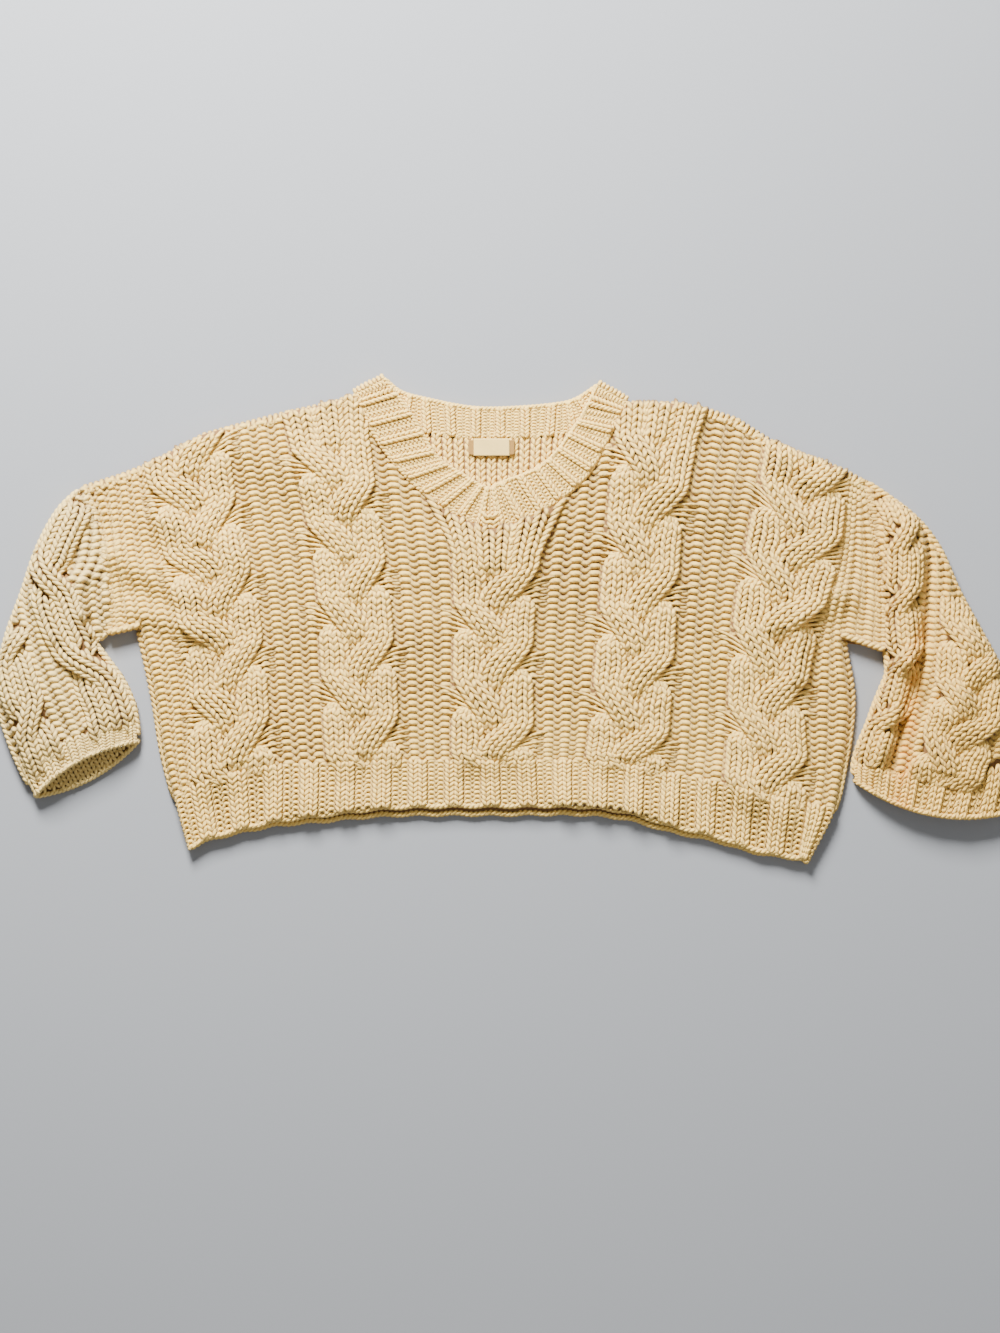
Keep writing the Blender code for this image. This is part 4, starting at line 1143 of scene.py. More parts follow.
def shoulder_turn_yarn(knitting, row):
    """The ribs' yarn that turns over a shoulder, in rows along the band."""
    free, seam, out = tip_fold(row)
    radius = (BAND_TIP_LIFT - BACK_BAND_LIFT) / 2 + BAND_THICK / 2 - 1.6
    middle = (BAND_TIP_LIFT + BACK_BAND_LIFT) / 2
    angle = np.linspace(-0.25, math.pi + 0.1, 14)
    bent = np.clip(angle, 0, math.pi)
    for across in np.linspace(0.05, 0.95, 8):
        bulged = radius + 0.5 * np.cos(angle * 5 + across * 9)
        away = bulged * np.sin(bent) + 3.0 * np.minimum(angle, 0)
        z = middle + bulged * np.cos(bent)
        place = free + across * (seam - free) + away[:, None] * out
        knitting.cord(np.column_stack((place, z)), 1.9, z + 2.2)


def mitre(knitting):
    """The small knot of gathered stitches below the point of the V."""
    point = FRONT_BAND_RIGHT[0]
    at = np.linspace(-1.0, 1.0, 17)
    for across, reach, level in ((0.72, 9.0, 12.6), (0.86, 11.0, 12.2), (0.98, 9.5, 11.6)):
        x = point.free_x + reach * at
        middle = point.free_y + (point.seam_y - point.free_y) * across
        y = middle + 5.5 * at**2 + 0.9 * np.cos(at * 9)
        z = level - 1.6 * at**2 + 0.5 * np.cos(at * 12)
        knitting.cord(np.stack((x, y, z), axis=1), 1.9, z + 2)


# ---- Label ----------------------------------------------------------------------------------
TAPE_LEVEL, LABEL_LEVEL = 5.0, 5.8
COCKLES = 6  # waves along the tape's edges


def label_piece(name, size, level, material, wave):
    """A woven tape that lies on the back, slightly cockled."""
    width, height, thick = size
    u, v = np.meshgrid(np.linspace(-0.5, 0.5, 45), np.linspace(-0.5, 0.5, 15), indexing="ij")
    x = LABEL_MIDDLE.x + u * width
    cockle = wave * 0.5 * np.cos(2 * math.pi * u * COCKLES) * np.abs(v)
    y = LABEL_MIDDLE.y + v * height + cockle
    z = level + 0.5 + 0.35 * np.sin(3 * u + 0.6) + 0.2 * np.sin(7 * u + 3 * v)
    upper, lower = (np.stack((x, y, z + rise), axis=-1) for rise in (thick, 0.0))
    return grid_mesh(name, upper, lower, material)


# ---- Sleeves --------------------------------------------------------------------------------
WHOLE_PLAIT = 60.0  # a track narrower than this shows only two strands of its plait
EDGE_WRAP = 0.05  # how far a row of yarn turns in under the sleeve's edge, as a share across
CUFF_ROW_PITCH = 4.4
SLEEVE_PURL = 13.2  # width of one purl stitch
PURL_REACH = 10  # stitches that a row runs to each side of its line
LOWEST_TURN = 2.6  # height of the yarn where it turns in under a sleeve
SLEEVE_RELIEF = 0.9  # height of its plaits, as a share of the front's
CUFF_RIB_WIDTH = 27.0
CUFF_WALE = 8.8  # inside the cuff
INSIDE_ROW = 4.6
SHELL_RINGS = 64
SHELL_TOP = 48
SHELL_UNDER = 26
SHELL_THICK = 1.6


def track_line(track):
    """Points along a plait's middle, the length to each and the direction there."""
    spots = np.array(track.spots, float)
    length = np.concatenate(([0.0], np.cumsum(np.hypot(*np.diff(spots, axis=0).T))))
    at = np.linspace(0.0, length[-1], 160)
    line = np.stack([smooth(length, spots[:, axis], at) for axis in (0, 1)], axis=1)
    return at, line, unit(np.gradient(line, axis=0))


def cable_of(track):
    return PLAIT if track.width > WHOLE_PLAIT else TWIST


def along_track(track, x, y):
    """How far places lie to the right of a plait's middle, its row there, and how far past it."""
    at, line, ahead = track_line(track)
    away = np.stack((x, y), axis=-1)[..., None, :] - line
    nearest = np.argmin((away**2).sum(axis=-1), axis=-1)
    gone = np.take_along_axis(away, nearest[..., None, None], axis=-2)[..., 0, :]
    ahead = ahead[nearest]
    right = gone[..., 1] * ahead[..., 0] - gone[..., 0] * ahead[..., 1]
    past = np.abs((gone * ahead).sum(axis=-1))
    return right, (at[-1] - at[nearest]) / ROW_PITCH, past


def under_plait(x, y, plaits):
    """Whether a place is well under one of a sleeve's plaits."""
    hidden = np.zeros(np.shape(x), bool)
    for track in plaits:
        right, _, past = along_track(track, x, y)
        hidden |= (np.abs(right) < track.width * 0.36) & (past < 2.0)
    return hidden


class Sleeve:
    """The tables of one sleeve, and the form of its plain cloth.

    side is -1 for the sleeve at -X and 1 for the one at +X."""

    def __init__(self, side, sections, folds, plaits, fields, tongue):
        self.side, self.sections, self.folds = side, sections, folds
        self.plaits, self.fields, self.tongue = plaits, fields, tongue
        shares, acrosses = np.linspace(0, 1, 90), np.linspace(-0.03, 1.03, 70)
        share, across = np.meshgrid(shares, acrosses, indexing="ij")
        points = self.place(share, across).reshape(-1, 3)
        faces = grid_faces(np.arange(share.size).reshape(share.shape))
        self.finder = BVHTree.FromPolygons(points.tolist(), faces.tolist())

    def section(self, share):
        """The section at a share of the way down the sleeve, as numbers or as arrays of them."""
        knots = np.arange(len(self.sections), dtype=float)
        at = np.atleast_1d(share) * knots[-1]
        columns = [smooth(knots, [row[i] for row in self.sections], at) for i in range(6)]
        return Section(*(column if np.ndim(share) else column[0] for column in columns))

    def place(self, share, across):
        """Places on the plain outside of the sleeve, without its plaits.

        across runs from the outer edge to the underarm edge, and a little past both, where the
        cloth turns in under them."""
        shape = np.shape(share)
        share, across = np.ravel(share), np.ravel(across)
        section = self.section(share)
        start = np.stack((section.outer_x, section.outer_y), axis=1)
        span = np.stack((section.under_x, section.under_y), axis=1) - start
        width = np.hypot(*span.T)
        to_cuff = self.side * np.stack((-span[:, 1], span[:, 0]), axis=1) / width[:, None]
        past = np.clip(np.maximum(-across, across - 1), 0.0, None)
        inner = np.where(across < 0, past, np.where(across > 1, 1 - past, across))
        bow = section.bow * 4 * inner * (1 - inner) + ARM_GAP * (1 - share)
        plan = start + inner[:, None] * span + bow[:, None] * to_cuff
        from_middle = np.abs(2 * np.clip(inner, 0.0, 1.0) - 1)
        round_top = np.clip(1 - from_middle**PUFF_POWER, 0.0, 1.0) ** DOME_ROUND
        soft = np.clip(1 - from_middle**RELIEF_POWER, 0.0, 1.0) ** DOME_ROUND
        creases = fold_height(plan[:, 0], plan[:, 1], self.folds) * soft
        creases = creases * np.clip(share * FOLD_ONSET, 0.0, 1.0)
        z = SLEEVE_EDGE_HEIGHT + (section.puff - SLEEVE_EDGE_HEIGHT) * round_top + creases
        below = SLEEVE_EDGE_HEIGHT * (1 - past * width / SLEEVE_EDGE_HEIGHT * UNDER_STEEP)
        z = np.where(past > 0, np.maximum(below, 0.0), z)
        return np.concatenate((plan, z[:, None]), axis=1).reshape(*shape, 3)

    def normal(self, share, across):
        """The outward direction of the sleeve's surface."""
        step_share, step_across = 0.008, 0.012
        along = self.place(share + step_share, across) - self.place(share - step_share, across)
        aside = self.place(share, across + step_across) - self.place(share, across - step_across)
        return unit(np.cross(along, aside) * -self.side)

    def height(self, x, y):
        """The height at each place, or nan where there is no sleeve."""
        found = np.full(np.shape(x), np.nan)
        down = Vector((0, 0, -1))
        for index in np.ndindex(found.shape):
            spot = self.finder.ray_cast(Vector((x[index], y[index], 200.0)), down)[0]
            if spot is not None:
                found[index] = spot.z
        return found

    def from_cuff(self, x, y):
        """How far places lie from the cuff's edge, along the sleeve."""
        section = self.sections[-1]
        start = np.array((section.outer_x, section.outer_y), float)
        across = np.array((section.under_x, section.under_y)) - start
        width = np.hypot(*across)
        across /= width
        to_cuff = self.side * np.array((-across[1], across[0]))
        share = np.clip(((x - start[0]) * across[0] + (y - start[1]) * across[1]) / width, 0, 1)
        ahead = (x - start[0]) * to_cuff[0] + (y - start[1]) * to_cuff[1]
        return section.bow * 4 * share * (1 - share) - ahead

    def fade(self, track, x, y, row):
        """How fully a plait stands out at its row, between the cuff and its upper end."""
        to_cuff = (self.from_cuff(x, y) - 8) / 22
        to_end = (track_line(track)[0][-1] / ROW_PITCH - row) / 2
        return np.clip(np.minimum(np.minimum(to_cuff, to_end), (row + 0.8) / 3.5), 0.15, 1.0)


def width_of(section):
    return math.hypot(section.under_x - section.outer_x, section.under_y - section.outer_y)


def sleeve_length(sections):
    middle = [((s.outer_x + s.under_x) / 2, (s.outer_y + s.under_y) / 2) for s in sections]
    return lengths(middle)[-1]


def turned_in(spot, ahead, way):
    """Two places where a row of yarn turns in under the sleeve, after its end or before its start.

    way is 1 at the row's end and -1 at its start."""
    turned = spot + ((0.9 * way * ahead[0], 0.9 * way * ahead[1], -2.5), (0.1 * way, 0, -6.5))
    return np.maximum(turned, (-np.inf, -np.inf, LOWEST_TURN))[::way]


def sleeve_rows(knitting, sleeve):
    """Purl rows across a sleeve, except under its plaits. They turn down over its edges."""
    for field in sleeve.fields:
        wales = np.array(field.wales, float)
        length = lengths(wales[:, :2])
        fine = np.linspace(0.0, length[-1], 200)
        x0, y0, tilts = (smooth(length, wales[:, column], fine) for column in range(3))
        drop = np.hypot(np.gradient(x0), np.gradient(y0))
        lean = np.arctan2(-np.gradient(x0), -np.gradient(y0)) + np.radians(tilts)
        rise = np.concatenate(([0.0], np.cumsum((drop * np.sqrt(np.abs(np.cos(lean))))[1:])))
        for level in np.arange(0.0, rise[-1], ROW_PITCH):
            x_row, y_row, tilt = (np.interp(level, rise, values) for values in (x0, y0, tilts))
            place, wave, bulge = purl_wave(-PURL_REACH, PURL_REACH)
            ahead = np.array((math.cos(math.radians(tilt)), math.sin(math.radians(tilt))))
            x = x_row + place * SLEEVE_PURL * ahead[0] - wave * ROW_PITCH * ahead[1]
            y = y_row + place * SLEEVE_PURL * ahead[1] + wave * ROW_PITCH * ahead[0]
            ground = sleeve.height(x, y)
            beside = along_track(sleeve.plaits[0], x, y)[0] * field.beside > 0
            shown = ~np.isnan(ground) & beside & ~under_plait(x, y, sleeve.plaits)
            shown &= sleeve.from_cuff(x, y) > CUFF_RIB_LENGTH - 8
            for first, last in runs(shown):
                if last - first < SHORTEST_CORD - 1:
                    continue
                part = slice(first, last)
                z = ground[part] - PURL_YARN - 0.5 + bulge[part]
                path = np.stack((x[part], y[part], z), axis=1)
                steep = np.abs(np.gradient(z))
                steep = steep / np.hypot(np.gradient(x[part]), np.gradient(y[part]))
                radius = PURL_YARN * (1.03 + 0.22 * np.clip(steep, 0.0, 1.0))
                crest = ground[part] + 0.6
                if last < len(x) and np.isnan(ground[last]):
                    path = np.concatenate((path, turned_in(path[-1], ahead, 1)))
                    crest = np.append(crest, (crest[-1], crest[-1]))
                    radius = np.append(radius, (PURL_YARN, PURL_YARN))
                if first > 0 and np.isnan(ground[first - 1]):
                    path = np.concatenate((turned_in(path[0], ahead, -1), path))
                    crest = np.append((crest[0], crest[0]), crest)
                    radius = np.append((PURL_YARN, PURL_YARN), radius)
                knitting.cord(path, radius * SOFT_RANDOM.uniform(*EVEN), crest)


def underarm_edges(knitting):
    """The folded lower edge of each wing, from the side seam out to the armhole."""
    for edge, out in ((0.0, -1), (FRONT_STITCHES, 1)):
        stitch = edge + out * np.linspace(-0.1, WING_STITCHES, 24)
        x, y = front_place(stitch, np.full(len(stitch), UNDERARM_ROW + 0.15))
        for level in (5.2, 9.0):
            line = np.stack((x, y, np.full(len(x), level)), axis=1)
            rope(knitting, line, 2.3, 11.0, level + 3.6)


def sleeve_edges(knitting, sleeve):
    """The knitting that turns in under a sleeve along its two folded edges."""
    share = np.linspace(0.02, 0.95, 90)
    for edge, inward in ((0.0, 1), (1.0, -1)):
        for inset, low, radius in ((0.004, 1.6, 2.3), (-0.012, 3.2, 2.4)):
            spots = sleeve.place(share, np.full(len(share), edge + inward * inset))
            spots[:, 2] = np.maximum(spots[:, 2] - low, LOWEST_TURN)
            rope(knitting, spots, radius, 11.0)


def armhole_stitches(knitting, sleeve):
    """Short stitches over the seam between the front and a sleeve."""
    section = sleeve.sections[0]
    span = width_of(section)
    shares = (np.arange(int(span / ROW_PITCH)) + 0.5) * ROW_PITCH / span
    for share in shares:
        reach = np.linspace(-4.5, 5.5, 9)
        plan = section_point(section, sleeve.side, np.full(9, share), reach)
        body = front_ground(plan[:, 0], plan[:, 1])
        arm = sleeve.height(plan[:, 0], plan[:, 1])
        arm = np.where(np.isnan(arm), body, arm)
        mix = np.clip((reach + 3) / 6, 0.0, 1.0)
        ground = body * (1 - mix) + np.maximum(arm, 6.0) * mix
        bulge = 0.9 * np.cos(reach / 2.6) - 1.5 * (np.abs(reach) / 8) ** 4
        plan[:, 1] += 1.0 * np.cos(reach / 2.3 + share * 30)
        path = np.column_stack((plan, ground - PURL_YARN - 0.9 + bulge))
        knitting.cord(path, PURL_YARN * 0.96, ground + 0.6)


def cuff_yarn(knitting, sleeve):
    """The ribbing of a cuff: two knit wales, then two purl ones."""
    length = sleeve_length(sleeve.sections)
    rows = np.arange(length - CUFF_RIB_LENGTH + 2, length - 1.5, CUFF_ROW_PITCH) / length
    ribs = max(3, round(width_of(sleeve.section(0.97)) / CUFF_RIB_WIDTH))
    pitch = 1.0 / ribs
    wale = pitch * 0.27
    for rib in range(ribs + 1):
        for offset in (-0.5, 0.5):
            across = rib * pitch + offset * wale + LEG_OUT * wale + 0 * rows[:, None, None]
            if across.min() < -EDGE_WRAP or across.max() > 1 + EDGE_WRAP:
                continue
            level = rows[:, None, None] + LEG_ALONG * CUFF_ROW_PITCH / length
            level = np.clip(level, 0.0, 1.0)
            spots = sleeve.place(level, across)
            lift = LEG_LIFT * 0.8 - 1.2
            path = spots + sleeve.normal(level, across) * lift[:, None]
            knitting.lay(path, LEG_THICK * 1.8, spots[..., 2] + 1.0)
        if rib == ribs:
            continue
        start, end = rib * pitch + wale, (rib + 1) * pitch - wale
        for row in rows:
            place, wave, bulge = purl_wave(-0.1, 2.1, 8)
            across = start + (end - start) * place / 2
            level = np.clip(row + 1.4 * wave * CUFF_ROW_PITCH / length, 0.0, 1.0)
            spots = sleeve.place(level, across)
            path = spots + sleeve.normal(level, across) * (bulge * 0.7 - 2.6)[:, None]
            knitting.cord(path, 1.9, spots[:, 2] + 0.2)


def cuff_edges(knitting, sleeve):
    """The bound-off edge of a cuff: along its upper and its under layer."""
    across = np.linspace(-0.02, 1.02, 70)
    spots = sleeve.place(np.full(len(across), 0.995), across)
    spots[:, 2] = np.maximum(spots[:, 2] - 2.0, 2.2)
    rope(knitting, spots, 1.8, 9.0)
    share = np.linspace(0.0, 1.0, 60)
    reach = 4 * sleeve.tongue * share * (1 - share)
    plan = section_point(sleeve.sections[-1], sleeve.side, share, reach - 1.0)
    level = 2.2 + 2.0 * np.abs(2 * share - 1) ** 4
    rope(knitting, np.column_stack((plan, level)), 1.7, 9.0)


def cuff_inside(knitting, sleeve):
    """The inside of the under layer, where it shows past the upper one: small knit wales."""
    section = sleeve.sections[-1]
    wales = max(4, round(width_of(section) / CUFF_WALE))
    for wale in range(wales):
        middle = (wale + 0.5) / wales
        reach = 4 * sleeve.tongue * middle * (1 - middle)
        for row in np.arange(-26.0, reach - 2.0, INSIDE_ROW):
            for out, along in zip(LEG_OUT, LEG_ALONG):
                share = middle + out / wales
                plan = section_point(section, sleeve.side, share, row + along * INSIDE_ROW)
                path = np.column_stack((plan, 3.6 + 0.6 * LEG_LIFT))
                knitting.lay(path, LEG_THICK * 1.7, 5.6)


def sleeve_plaits(knitting, sleeve):
    """The plaits that run down a sleeve, on whatever its surface is below them."""
    for track in sleeve.plaits:
        at, line, ahead = track_line(track)
        rows = np.arange(0.5, at[-1] / ROW_PITCH, 1.0)
        cable = cable_of(track)
        across, row, height, radius, crest = cable_legs(cable, rows, 99, track.pace, track.phase)
        along = at[-1] - row * ROW_PITCH
        strand = track.width / cable.strands
        x = np.interp(along, at, line[:, 0])
        y = np.interp(along, at, line[:, 1])
        ahead_x = np.interp(along, at, ahead[:, 0])
        ahead_y = np.interp(along, at, ahead[:, 1])
        right = across * strand * track.crossing
        x = x - right * ahead_y
        y = y + right * ahead_x
        ground = sleeve.height(x, y)
        keep = (np.isnan(ground).sum(axis=1) < 5) & (sleeve.from_cuff(x, y).min(axis=1) > 9)
        for leg in np.flatnonzero(keep & np.isnan(ground).any(axis=1)):
            inside = np.flatnonzero(~np.isnan(ground[leg]))
            every = np.arange(LEG_STEPS)
            for values in (x[leg], y[leg]):
                held = np.interp(every, inside, values[inside])
                values += 0.7 * (held - values)
            ground[leg] = np.interp(every, inside, ground[leg, inside])
        ground = ground[keep]
        ends = sleeve.fade(track, x, y, row)[keep]
        z = ground + height[keep] * SLEEVE_RELIEF * ends - YARN
        thick = radius[keep] * YARN * 1.08 * SOFT_RANDOM.uniform(0.94, 1.06, (keep.sum(), 1))
        path = np.stack((x[keep], y[keep], z), axis=-1)
        knitting.lay(path, thick, ground + crest[keep] * SLEEVE_RELIEF * ends + 1.2)


def track_relief(sleeve, spots):
    """Height that a sleeve's plaits add to its cloth at each spot."""
    x, y = spots[:, 0], spots[:, 1]
    relief = np.zeros(len(spots))
    for track in sleeve.plaits:
        cable = cable_of(track)
        right, row, past = along_track(track, x, y)
        across = right * track.crossing / (track.width / cable.strands)
        rise = cable_surface(cable, across, row * track.pace + track.phase, 999)
        rise = rise * sleeve.fade(track, x, y, row)
        relief = np.maximum(relief, rise * np.clip(1 - past / TRACK_FADE, 0, 1))
    return relief


def sleeve_shell(name, sleeve, material):
    """The cloth of a sleeve: an open tube, with a thin wall."""
    top_across = np.linspace(0.0, 1.0, SHELL_TOP)
    under_across = np.linspace(1.0, 0.0, SHELL_UNDER)[1:-1]
    bow = 4 * under_across * (1 - under_across)
    rings, inner = [], []
    for share in np.linspace(0.003, 0.99, SHELL_RINGS):
        shares = np.full(SHELL_TOP, share)
        spots = sleeve.place(shares, top_across)
        sink = 0.8 * track_relief(sleeve, spots) - SHELL_SINK
        upper = spots + sleeve.normal(shares, top_across) * sink[:, None]
        upper[:, 2] = np.maximum(upper[:, 2], 2.4)
        reach = sleeve.tongue * share**TONGUE_EASE
        plan = section_point(sleeve.section(share), sleeve.side, under_across, reach * bow)
        ring = np.concatenate((upper, np.column_stack((plan, np.full(len(plan), 0.2)))))
        thin = ring.copy()
        thin[:SHELL_TOP, 2] = np.maximum(upper[:, 2] - SHELL_THICK, 2.0)
        thin[SHELL_TOP:, 2] += SHELL_THICK
        rings.append(ring)
        inner.append(thin + unit((upper.mean(axis=0) - ring) * (1, 1, 0)) * 0.4)
    around = len(rings[0])
    count = around * SHELL_RINGS
    number = np.arange(count).reshape(SHELL_RINGS, around)
    beside = np.roll(number, -1, axis=1)
    quads = np.stack((number[:-1], beside[:-1], beside[1:], number[1:]), axis=-1).reshape(-1, 4)
    ends = [
        np.stack((beside[end], number[end], number[end] + count, beside[end] + count), axis=-1)
        for end in (0, -1)
    ]
    faces = np.concatenate((quads, quads[:, ::-1] + count, ends[0], ends[1][:, ::-1]))
    low = np.repeat((0.0, 1.0), (SHELL_TOP, around - SHELL_TOP))
    below = np.concatenate((np.tile(low, SHELL_RINGS), np.zeros(count)))
    return closed_mesh(name, np.concatenate(rings + inner), faces, material, below)


# ---- Materials ------------------------------------------------------------------------------
DEEP = 4.2  # mm below the outer face at which the painted shade on the yarn is darkest
FLOOR_GREY = (0.30, 0.31, 0.325)


class Socket:
    """A value inside a shader, so that sums are written as expressions."""

    def __init__(self, tree, socket):
        self.tree, self.socket = tree, socket

    def math(self, operation, *others):
        return node(self.tree, "ShaderNodeMath", {"operation": operation}, (self, *others))

    def reflected(self, operation, other):
        return node(self.tree, "ShaderNodeMath", {"operation": operation}, (other, self))

    def __add__(self, other):
        return self.math("ADD", other)

    def __sub__(self, other):
        return self.math("SUBTRACT", other)

    def __rsub__(self, other):
        return self.reflected("SUBTRACT", other)

    def __mul__(self, other):
        return self.math("MULTIPLY", other)

    def __truediv__(self, other):
        return self.math("DIVIDE", other)

    def __rtruediv__(self, other):
        return self.reflected("DIVIDE", other)

    def __pow__(self, other):
        return self.math("POWER", other)

    def __rpow__(self, other):
        return self.reflected("POWER", other)

    __radd__, __rmul__ = __add__, __mul__

    def clamp(self):
        return self.math("MAXIMUM", 0.0).math("MINIMUM", 1.0)

    def sine(self):
        return self.math("SINE")

    def cosine(self):
        return self.math("COSINE")

    def parts(self):
        """The first two parts of a place."""
        return [node(self.tree, "ShaderNodeSeparateXYZ", {}, (self,), part) for part in (0, 1)]


def node(tree, kind, settings, values, output=0):
    """Makes a shader node from its type, settings and socket values."""
    made = tree.nodes.new(kind)
    for name, value in settings.items():
        setattr(made, name, value)
    pairs = values.items() if isinstance(values, dict) else enumerate(values)
    for name, value in pairs:
        if isinstance(value, Socket):
            tree.links.new(value.socket, made.inputs[name])
        else:
            made.inputs[name].default_value = value
    return Socket(tree, made.outputs[output])


def mix_colour(share, first, second):
    """Mixes two colours, each a socket or three numbers."""
    first, second = (
        colour if isinstance(colour, Socket) else (*colour, 1.0) for colour in (first, second)
    )
    values = {0: share, 6: first, 7: second}
    return node(share.tree, "ShaderNodeMix", {"data_type": "RGBA"}, values, output=2)


def noise(place, scale, detail=3.0, rough=0.55):
    values = {"Vector": place, "Scale": scale, "Detail": detail, "Roughness": rough}
    return node(place.tree, "ShaderNodeTexNoise", {}, values)


def attribute(tree, name):
    return node(tree, "ShaderNodeAttribute", {"attribute_name": name}, (), output=2)


def new_material(name, roughness, sheen=0.0):
    """A matte material, its node tree and the place on the object."""
    material = bpy.data.materials.new(name)
    material.use_nodes = True
    tree = material.node_tree
    shader = tree.nodes["Principled BSDF"]
    shader.inputs["Roughness"].default_value = roughness
    shader.inputs["Sheen Weight"].default_value = sheen
    shader.inputs["Sheen Roughness"].default_value = 0.6
    return material, tree, node(tree, "ShaderNodeTexCoord", {}, (), output=3)


def finish(colour, height, strength, distance):
    """Gives a material its colour, and a bump that is distance high in metres."""
    tree = colour.tree
    shader = tree.nodes["Principled BSDF"]
    values = {"Strength": strength, "Distance": distance, "Height": height}
    bump = node(tree, "ShaderNodeBump", {}, values)
    tree.links.new(colour.socket, shader.inputs["Base Color"])
    tree.links.new(bump.socket, shader.inputs["Normal"])


def darker(colour, share):
    return tuple(part * share for part in colour)


def stained(place, patch):
    """A strip of the right sleeve, beside its narrow plait, where the yarn has turned orange."""
    x, y = place.parts()
    from_middle = (x - (y * 0.10 + 0.3885)) / 0.013
    across = (1 - from_middle * from_middle).clamp()
    down = ((0.012 - y) / 0.03).clamp()
    return across * down * ((patch - 0.32) * 3.0).clamp() * 0.62


def yarn_material(name, light, shade_colour, stain=None):
    """Matte plied yarn, with painted shade that browns it where it lies deep between the stitches.
    """
    material, tree, place = new_material(name, 0.93, sheen=0.12)
    length, around = node(tree, "ShaderNodeUVMap", {"uv_map": "yarn"}, ()).parts()
    ply = ((length * 2.2 + around * 2.0) * (2 * math.pi)).sine()
    fibre = noise(place, 900.0, 4.0, 0.7)
    broad = noise(place, 7.0, 2.0)
    patch = noise(place, 46.0, 3.0)
    # Painted shade: the deeper a point lies below the outer face, the nearer its colour comes to
    # the shade colour.
    painted_shade = ((attribute(tree, "depth") - 0.5) / DEEP).clamp() ** 0.9
    shade_and_mottle = (painted_shade * 0.92 + (patch - 0.5) * 0.10 - ply * 0.03).clamp()
    colour = mix_colour(shade_and_mottle, light, shade_colour)
    paler = tuple(min(1.0, part * 1.10) for part in light)
    colour = mix_colour(((broad - 0.45) * 1.4).clamp() * 0.5, colour, paler)
    if stain:
        colour = mix_colour(stained(place, patch), colour, stain)
    finish(colour, ply * 0.5 + fibre * 0.9, 0.6, 0.0006)
    return material


def cloth_material(name, inside, light, shade_colour):
    """Cloth under the yarn: painted shade where it shows between the stitches, and a painted knit
    pattern on its outside, whose dark rows are painted shade.
    """
    material, tree, place = new_material(name, 0.95)
    below = attribute(tree, "below")
    x, y = place.parts()
    bumps = (x * (2 * math.pi / (SLEEVE_PURL * MM))).cosine()
    rows = y * (2 * math.pi / (ROW_PITCH * MM)) + bumps * 1.5
    # On the outside, a painted knit pattern: the dark between its rows is painted shade.
    stitch = (rows.cosine() * 0.5 + 0.5 + bumps * 0.12).clamp() ** 0.6
    patch = noise(place, 300.0)
    # Painted shade: the cloth between the stitches is a dark brown, mottled darker at random.
    shaded = mix_colour(patch, inside, darker(inside, 0.72))
    colour = mix_colour(below.clamp(), shaded, mix_colour(stitch, shade_colour, light))
    finish(colour, stitch * below * 3.0 + patch * 0.3, 0.8, 0.001)
    return material


def woven_material(name, colour, threads):
    """A fine plain weave. threads is how closely it is woven."""
    material, _, place = new_material(name, 0.8, sheen=0.1)
    x, y = place.parts()
    weave = (x * threads).sine() * (y * threads).sine()
    share = (weave * 0.15 + noise(place, 60.0) * 0.4).clamp()
    finish(mix_colour(share, colour, darker(colour, 0.8)), weave, 0.4, 0.0002)
    return material


def floor_material():
    material, tree, _ = new_material("floor", 0.8)
    tree.nodes["Principled BSDF"].inputs["Base Color"].default_value = (*FLOOR_GREY, 1.0)
    return material


# ---- The whole pullover ---------------------------------------------------------------------
def knit_piece(name, material, slot, *courses):
    """One mesh of yarn. Each course is a function that lays yarn, and what it is told."""
    knitting = Knitting()
    for course, *details in courses:
        course(knitting, *details)
    return knitting.piece(name, material, slot)


def make_front(yarn, cloth_with_painted_shade):
    cloth = front_shell(cloth_with_painted_shade)
    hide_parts("front_panel")
    between = [(purl_rows, start - TUCK, end + TUCK) for start, end in PURL_BANDS]
    wraps = [(shoulder_wraps, line) for line in (SHOULDER_LEFT, SHOULDER_RIGHT)]
    front = [
        knit_piece(name, yarn, "knit_front", *courses)
        for name, *courses in (
            ("plaits_left", (front_plaits, PLAIT_STARTS[:2])),
            ("plaits_right", (front_plaits, PLAIT_STARTS[2:])),
            ("purl_between", *between),
            ("purl_sides", (side_rows, -1), (side_rows, 1), (underarm_edges,)),
            ("pulled_yarns", (pulled_yarns, PLAIT_STARTS)),
            ("hem", (hem_ribs,), (hem_edge, 0.0, 7.2)),
            ("shoulder_edges", *wraps),
        )
    ]


def make_back(yarn, cloth_with_painted_shade):
    back = back_shell(cloth_with_painted_shade)
    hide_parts("back_panel")
    back_yarn = [
        knit_piece("back_inside", yarn, "knit_back", (back_inside,)),
        knit_piece("back_hem", yarn, "knit_back", (hem_edge, BACK_HEM_DROP, 2.4)),
    ]


def make_neck(yarn, cloth_with_painted_shade):
    band = band_shell(cloth_with_painted_shade)
    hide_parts("neckband")
    band_knit = [knit_piece("band_ribs", yarn, "rib", (band_ribs,))]
    tape = woven_material("tape_weave", (0.36, 0.185, 0.03), 7000.0)
    tape_piece = label_piece("label_ends", TAPE_SIZE, TAPE_LEVEL, tape, 1.0)
    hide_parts("label_tape")
    label = woven_material("label_weave", (0.94, 0.66, 0.20), 9000.0)
    label_cloth = label_piece("bare_label", LABEL_SIZE, LABEL_LEVEL, label, 0.0)
    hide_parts("neck_label")


def make_sleeve(name, sleeve, yarn, cloth_with_painted_shade):
    shell = sleeve_shell(f"sleeve_{name}_cloth", sleeve, cloth_with_painted_shade)
    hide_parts(f"sleeve_{name}")
    pieces = [
        knit_piece(f"sleeve_{name}_{part}", yarn, "knit_sleeve", *((c, sleeve) for c in courses))
        for part, *courses in (
            ("purl", sleeve_rows, armhole_stitches, sleeve_edges),
            ("plaits", sleeve_plaits),
            ("cuff", cuff_yarn, cuff_edges, cuff_inside),
        )
    ]


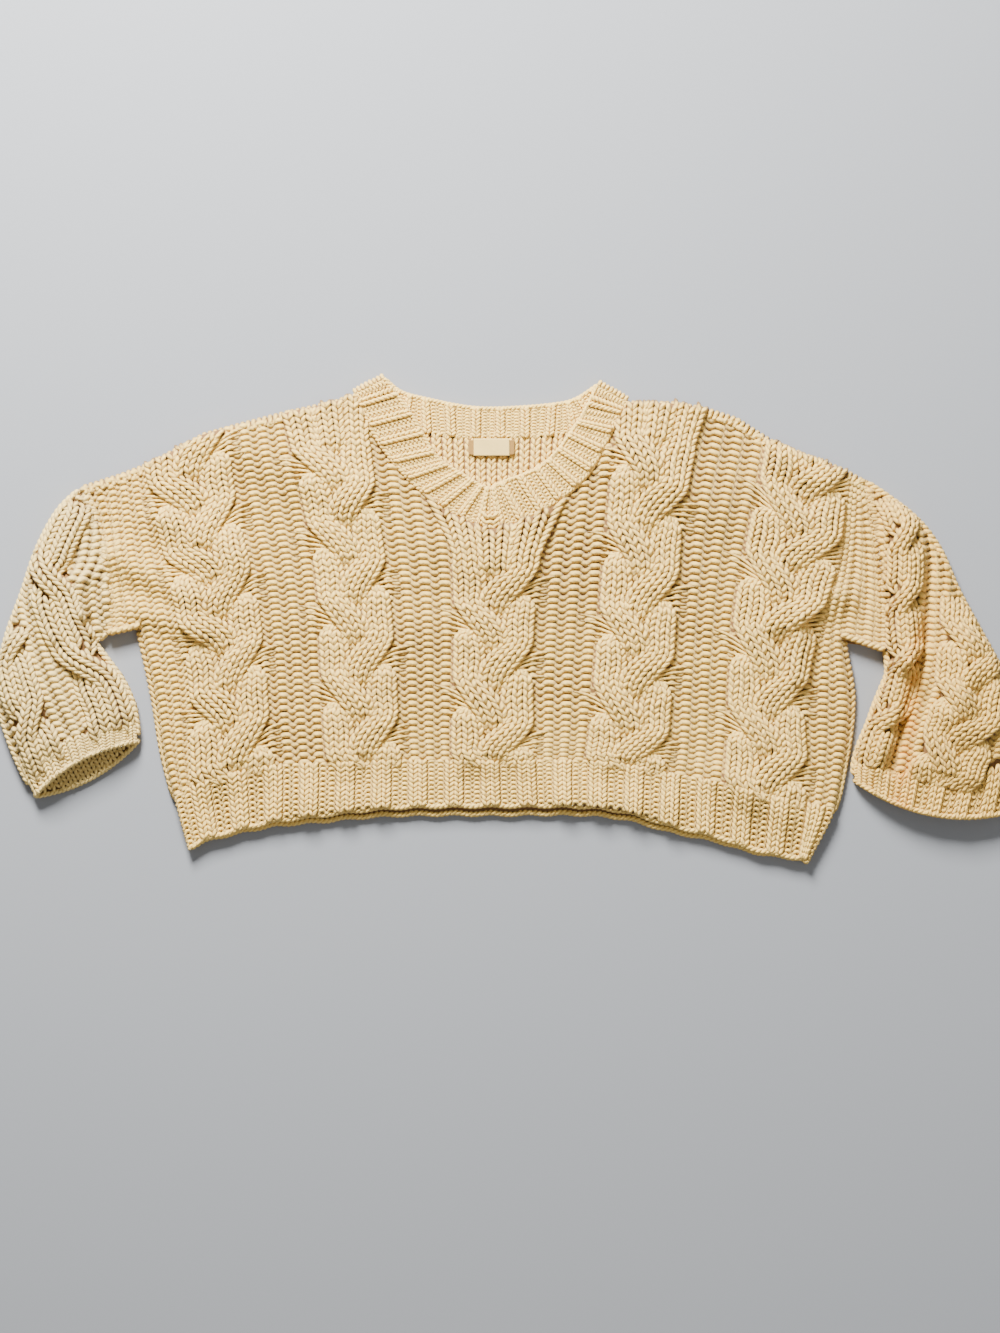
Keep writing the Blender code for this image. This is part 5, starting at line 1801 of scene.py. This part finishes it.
def main():
    # The second colour of each yarn is painted shade, for yarn that lies deep between the stitches.
    yarn = yarn_material("cream_yarn", (0.95, 0.635, 0.155), (0.13, 0.058, 0.015))
    pale = yarn_material("pale_yarn", (0.90, 0.65, 0.21), (0.12, 0.058, 0.018))
    warm = yarn_material(
        "warm_yarn", (0.93, 0.59, 0.125), (0.12, 0.052, 0.012), stain=(0.93, 0.42, 0.045)
    )
    # The cloth's first colour is painted shade for the gaps between the stitches; its last is
    # painted shade between the rows of its knit pattern.
    cloth = cloth_material("cloth", (0.25, 0.125, 0.038), (0.90, 0.60, 0.18), (0.24, 0.11, 0.025))
    make_front(yarn, cloth)
    make_back(yarn, cloth)
    make_neck(yarn, cloth)
    left = Sleeve(
        -1, SLEEVE_LEFT, SLEEVE_LEFT_FOLDS, SLEEVE_LEFT_PLAITS, SLEEVE_LEFT_FIELDS, CUFF_TONGUE
    )
    make_sleeve("left", left, pale, cloth)
    right = Sleeve(
        1, SLEEVE_RIGHT, SLEEVE_RIGHT_FOLDS, SLEEVE_RIGHT_PLAITS, SLEEVE_RIGHT_FIELDS, 0.0
    )
    make_sleeve("right", right, warm, cloth)
    stage_and_camera()


# ---- Floor, camera and lights ---------------------------------------------------------------
FLOOR_DROP = 0.0005  # metres, like all that follows
EYE = (-0.008, -0.045, 2.4)
SEEN_WIDTH = 0.955  # width that fills the picture at the floor
Lamp = namedtuple("Lamp", "name place size power")
LAMPS = (
    Lamp("key", (-0.55, 1.75, 1.15), 0.75, 235),
    Lamp("fill", (1.4, -1.0, 2.2), 2.0, 12),
)
SKY = 0.30


def stage_and_camera():
    bpy.ops.mesh.primitive_plane_add(size=6.0, location=(0, 0, -FLOOR_DROP))
    floor = bpy.context.object
    floor.name = "floor"
    floor.data.materials.append(floor_material())
    scene = bpy.context.scene
    camera = bpy.data.cameras.new("camera")
    eye = bpy.data.objects.new("camera", camera)
    scene.collection.objects.link(eye)
    eye.location = EYE
    camera.sensor_fit = "HORIZONTAL"
    camera.lens = camera.sensor_width * EYE[2] / SEEN_WIDTH
    scene.camera = eye
    for name, place, size, power in LAMPS:
        light = bpy.data.lights.new(name, "AREA")
        light.size = size
        light.energy = power
        lamp = bpy.data.objects.new(name, light)
        lamp.location = place
        lamp.rotation_euler = (-Vector(place)).to_track_quat("-Z", "Y").to_euler()
        scene.collection.objects.link(lamp)
    world = bpy.data.worlds.new("studio")
    scene.world = world
    world.use_nodes = True
    background = world.node_tree.nodes["Background"]
    background.inputs["Color"].default_value = (1.0, 1.0, 1.0, 1.0)
    background.inputs["Strength"].default_value = SKY


main()
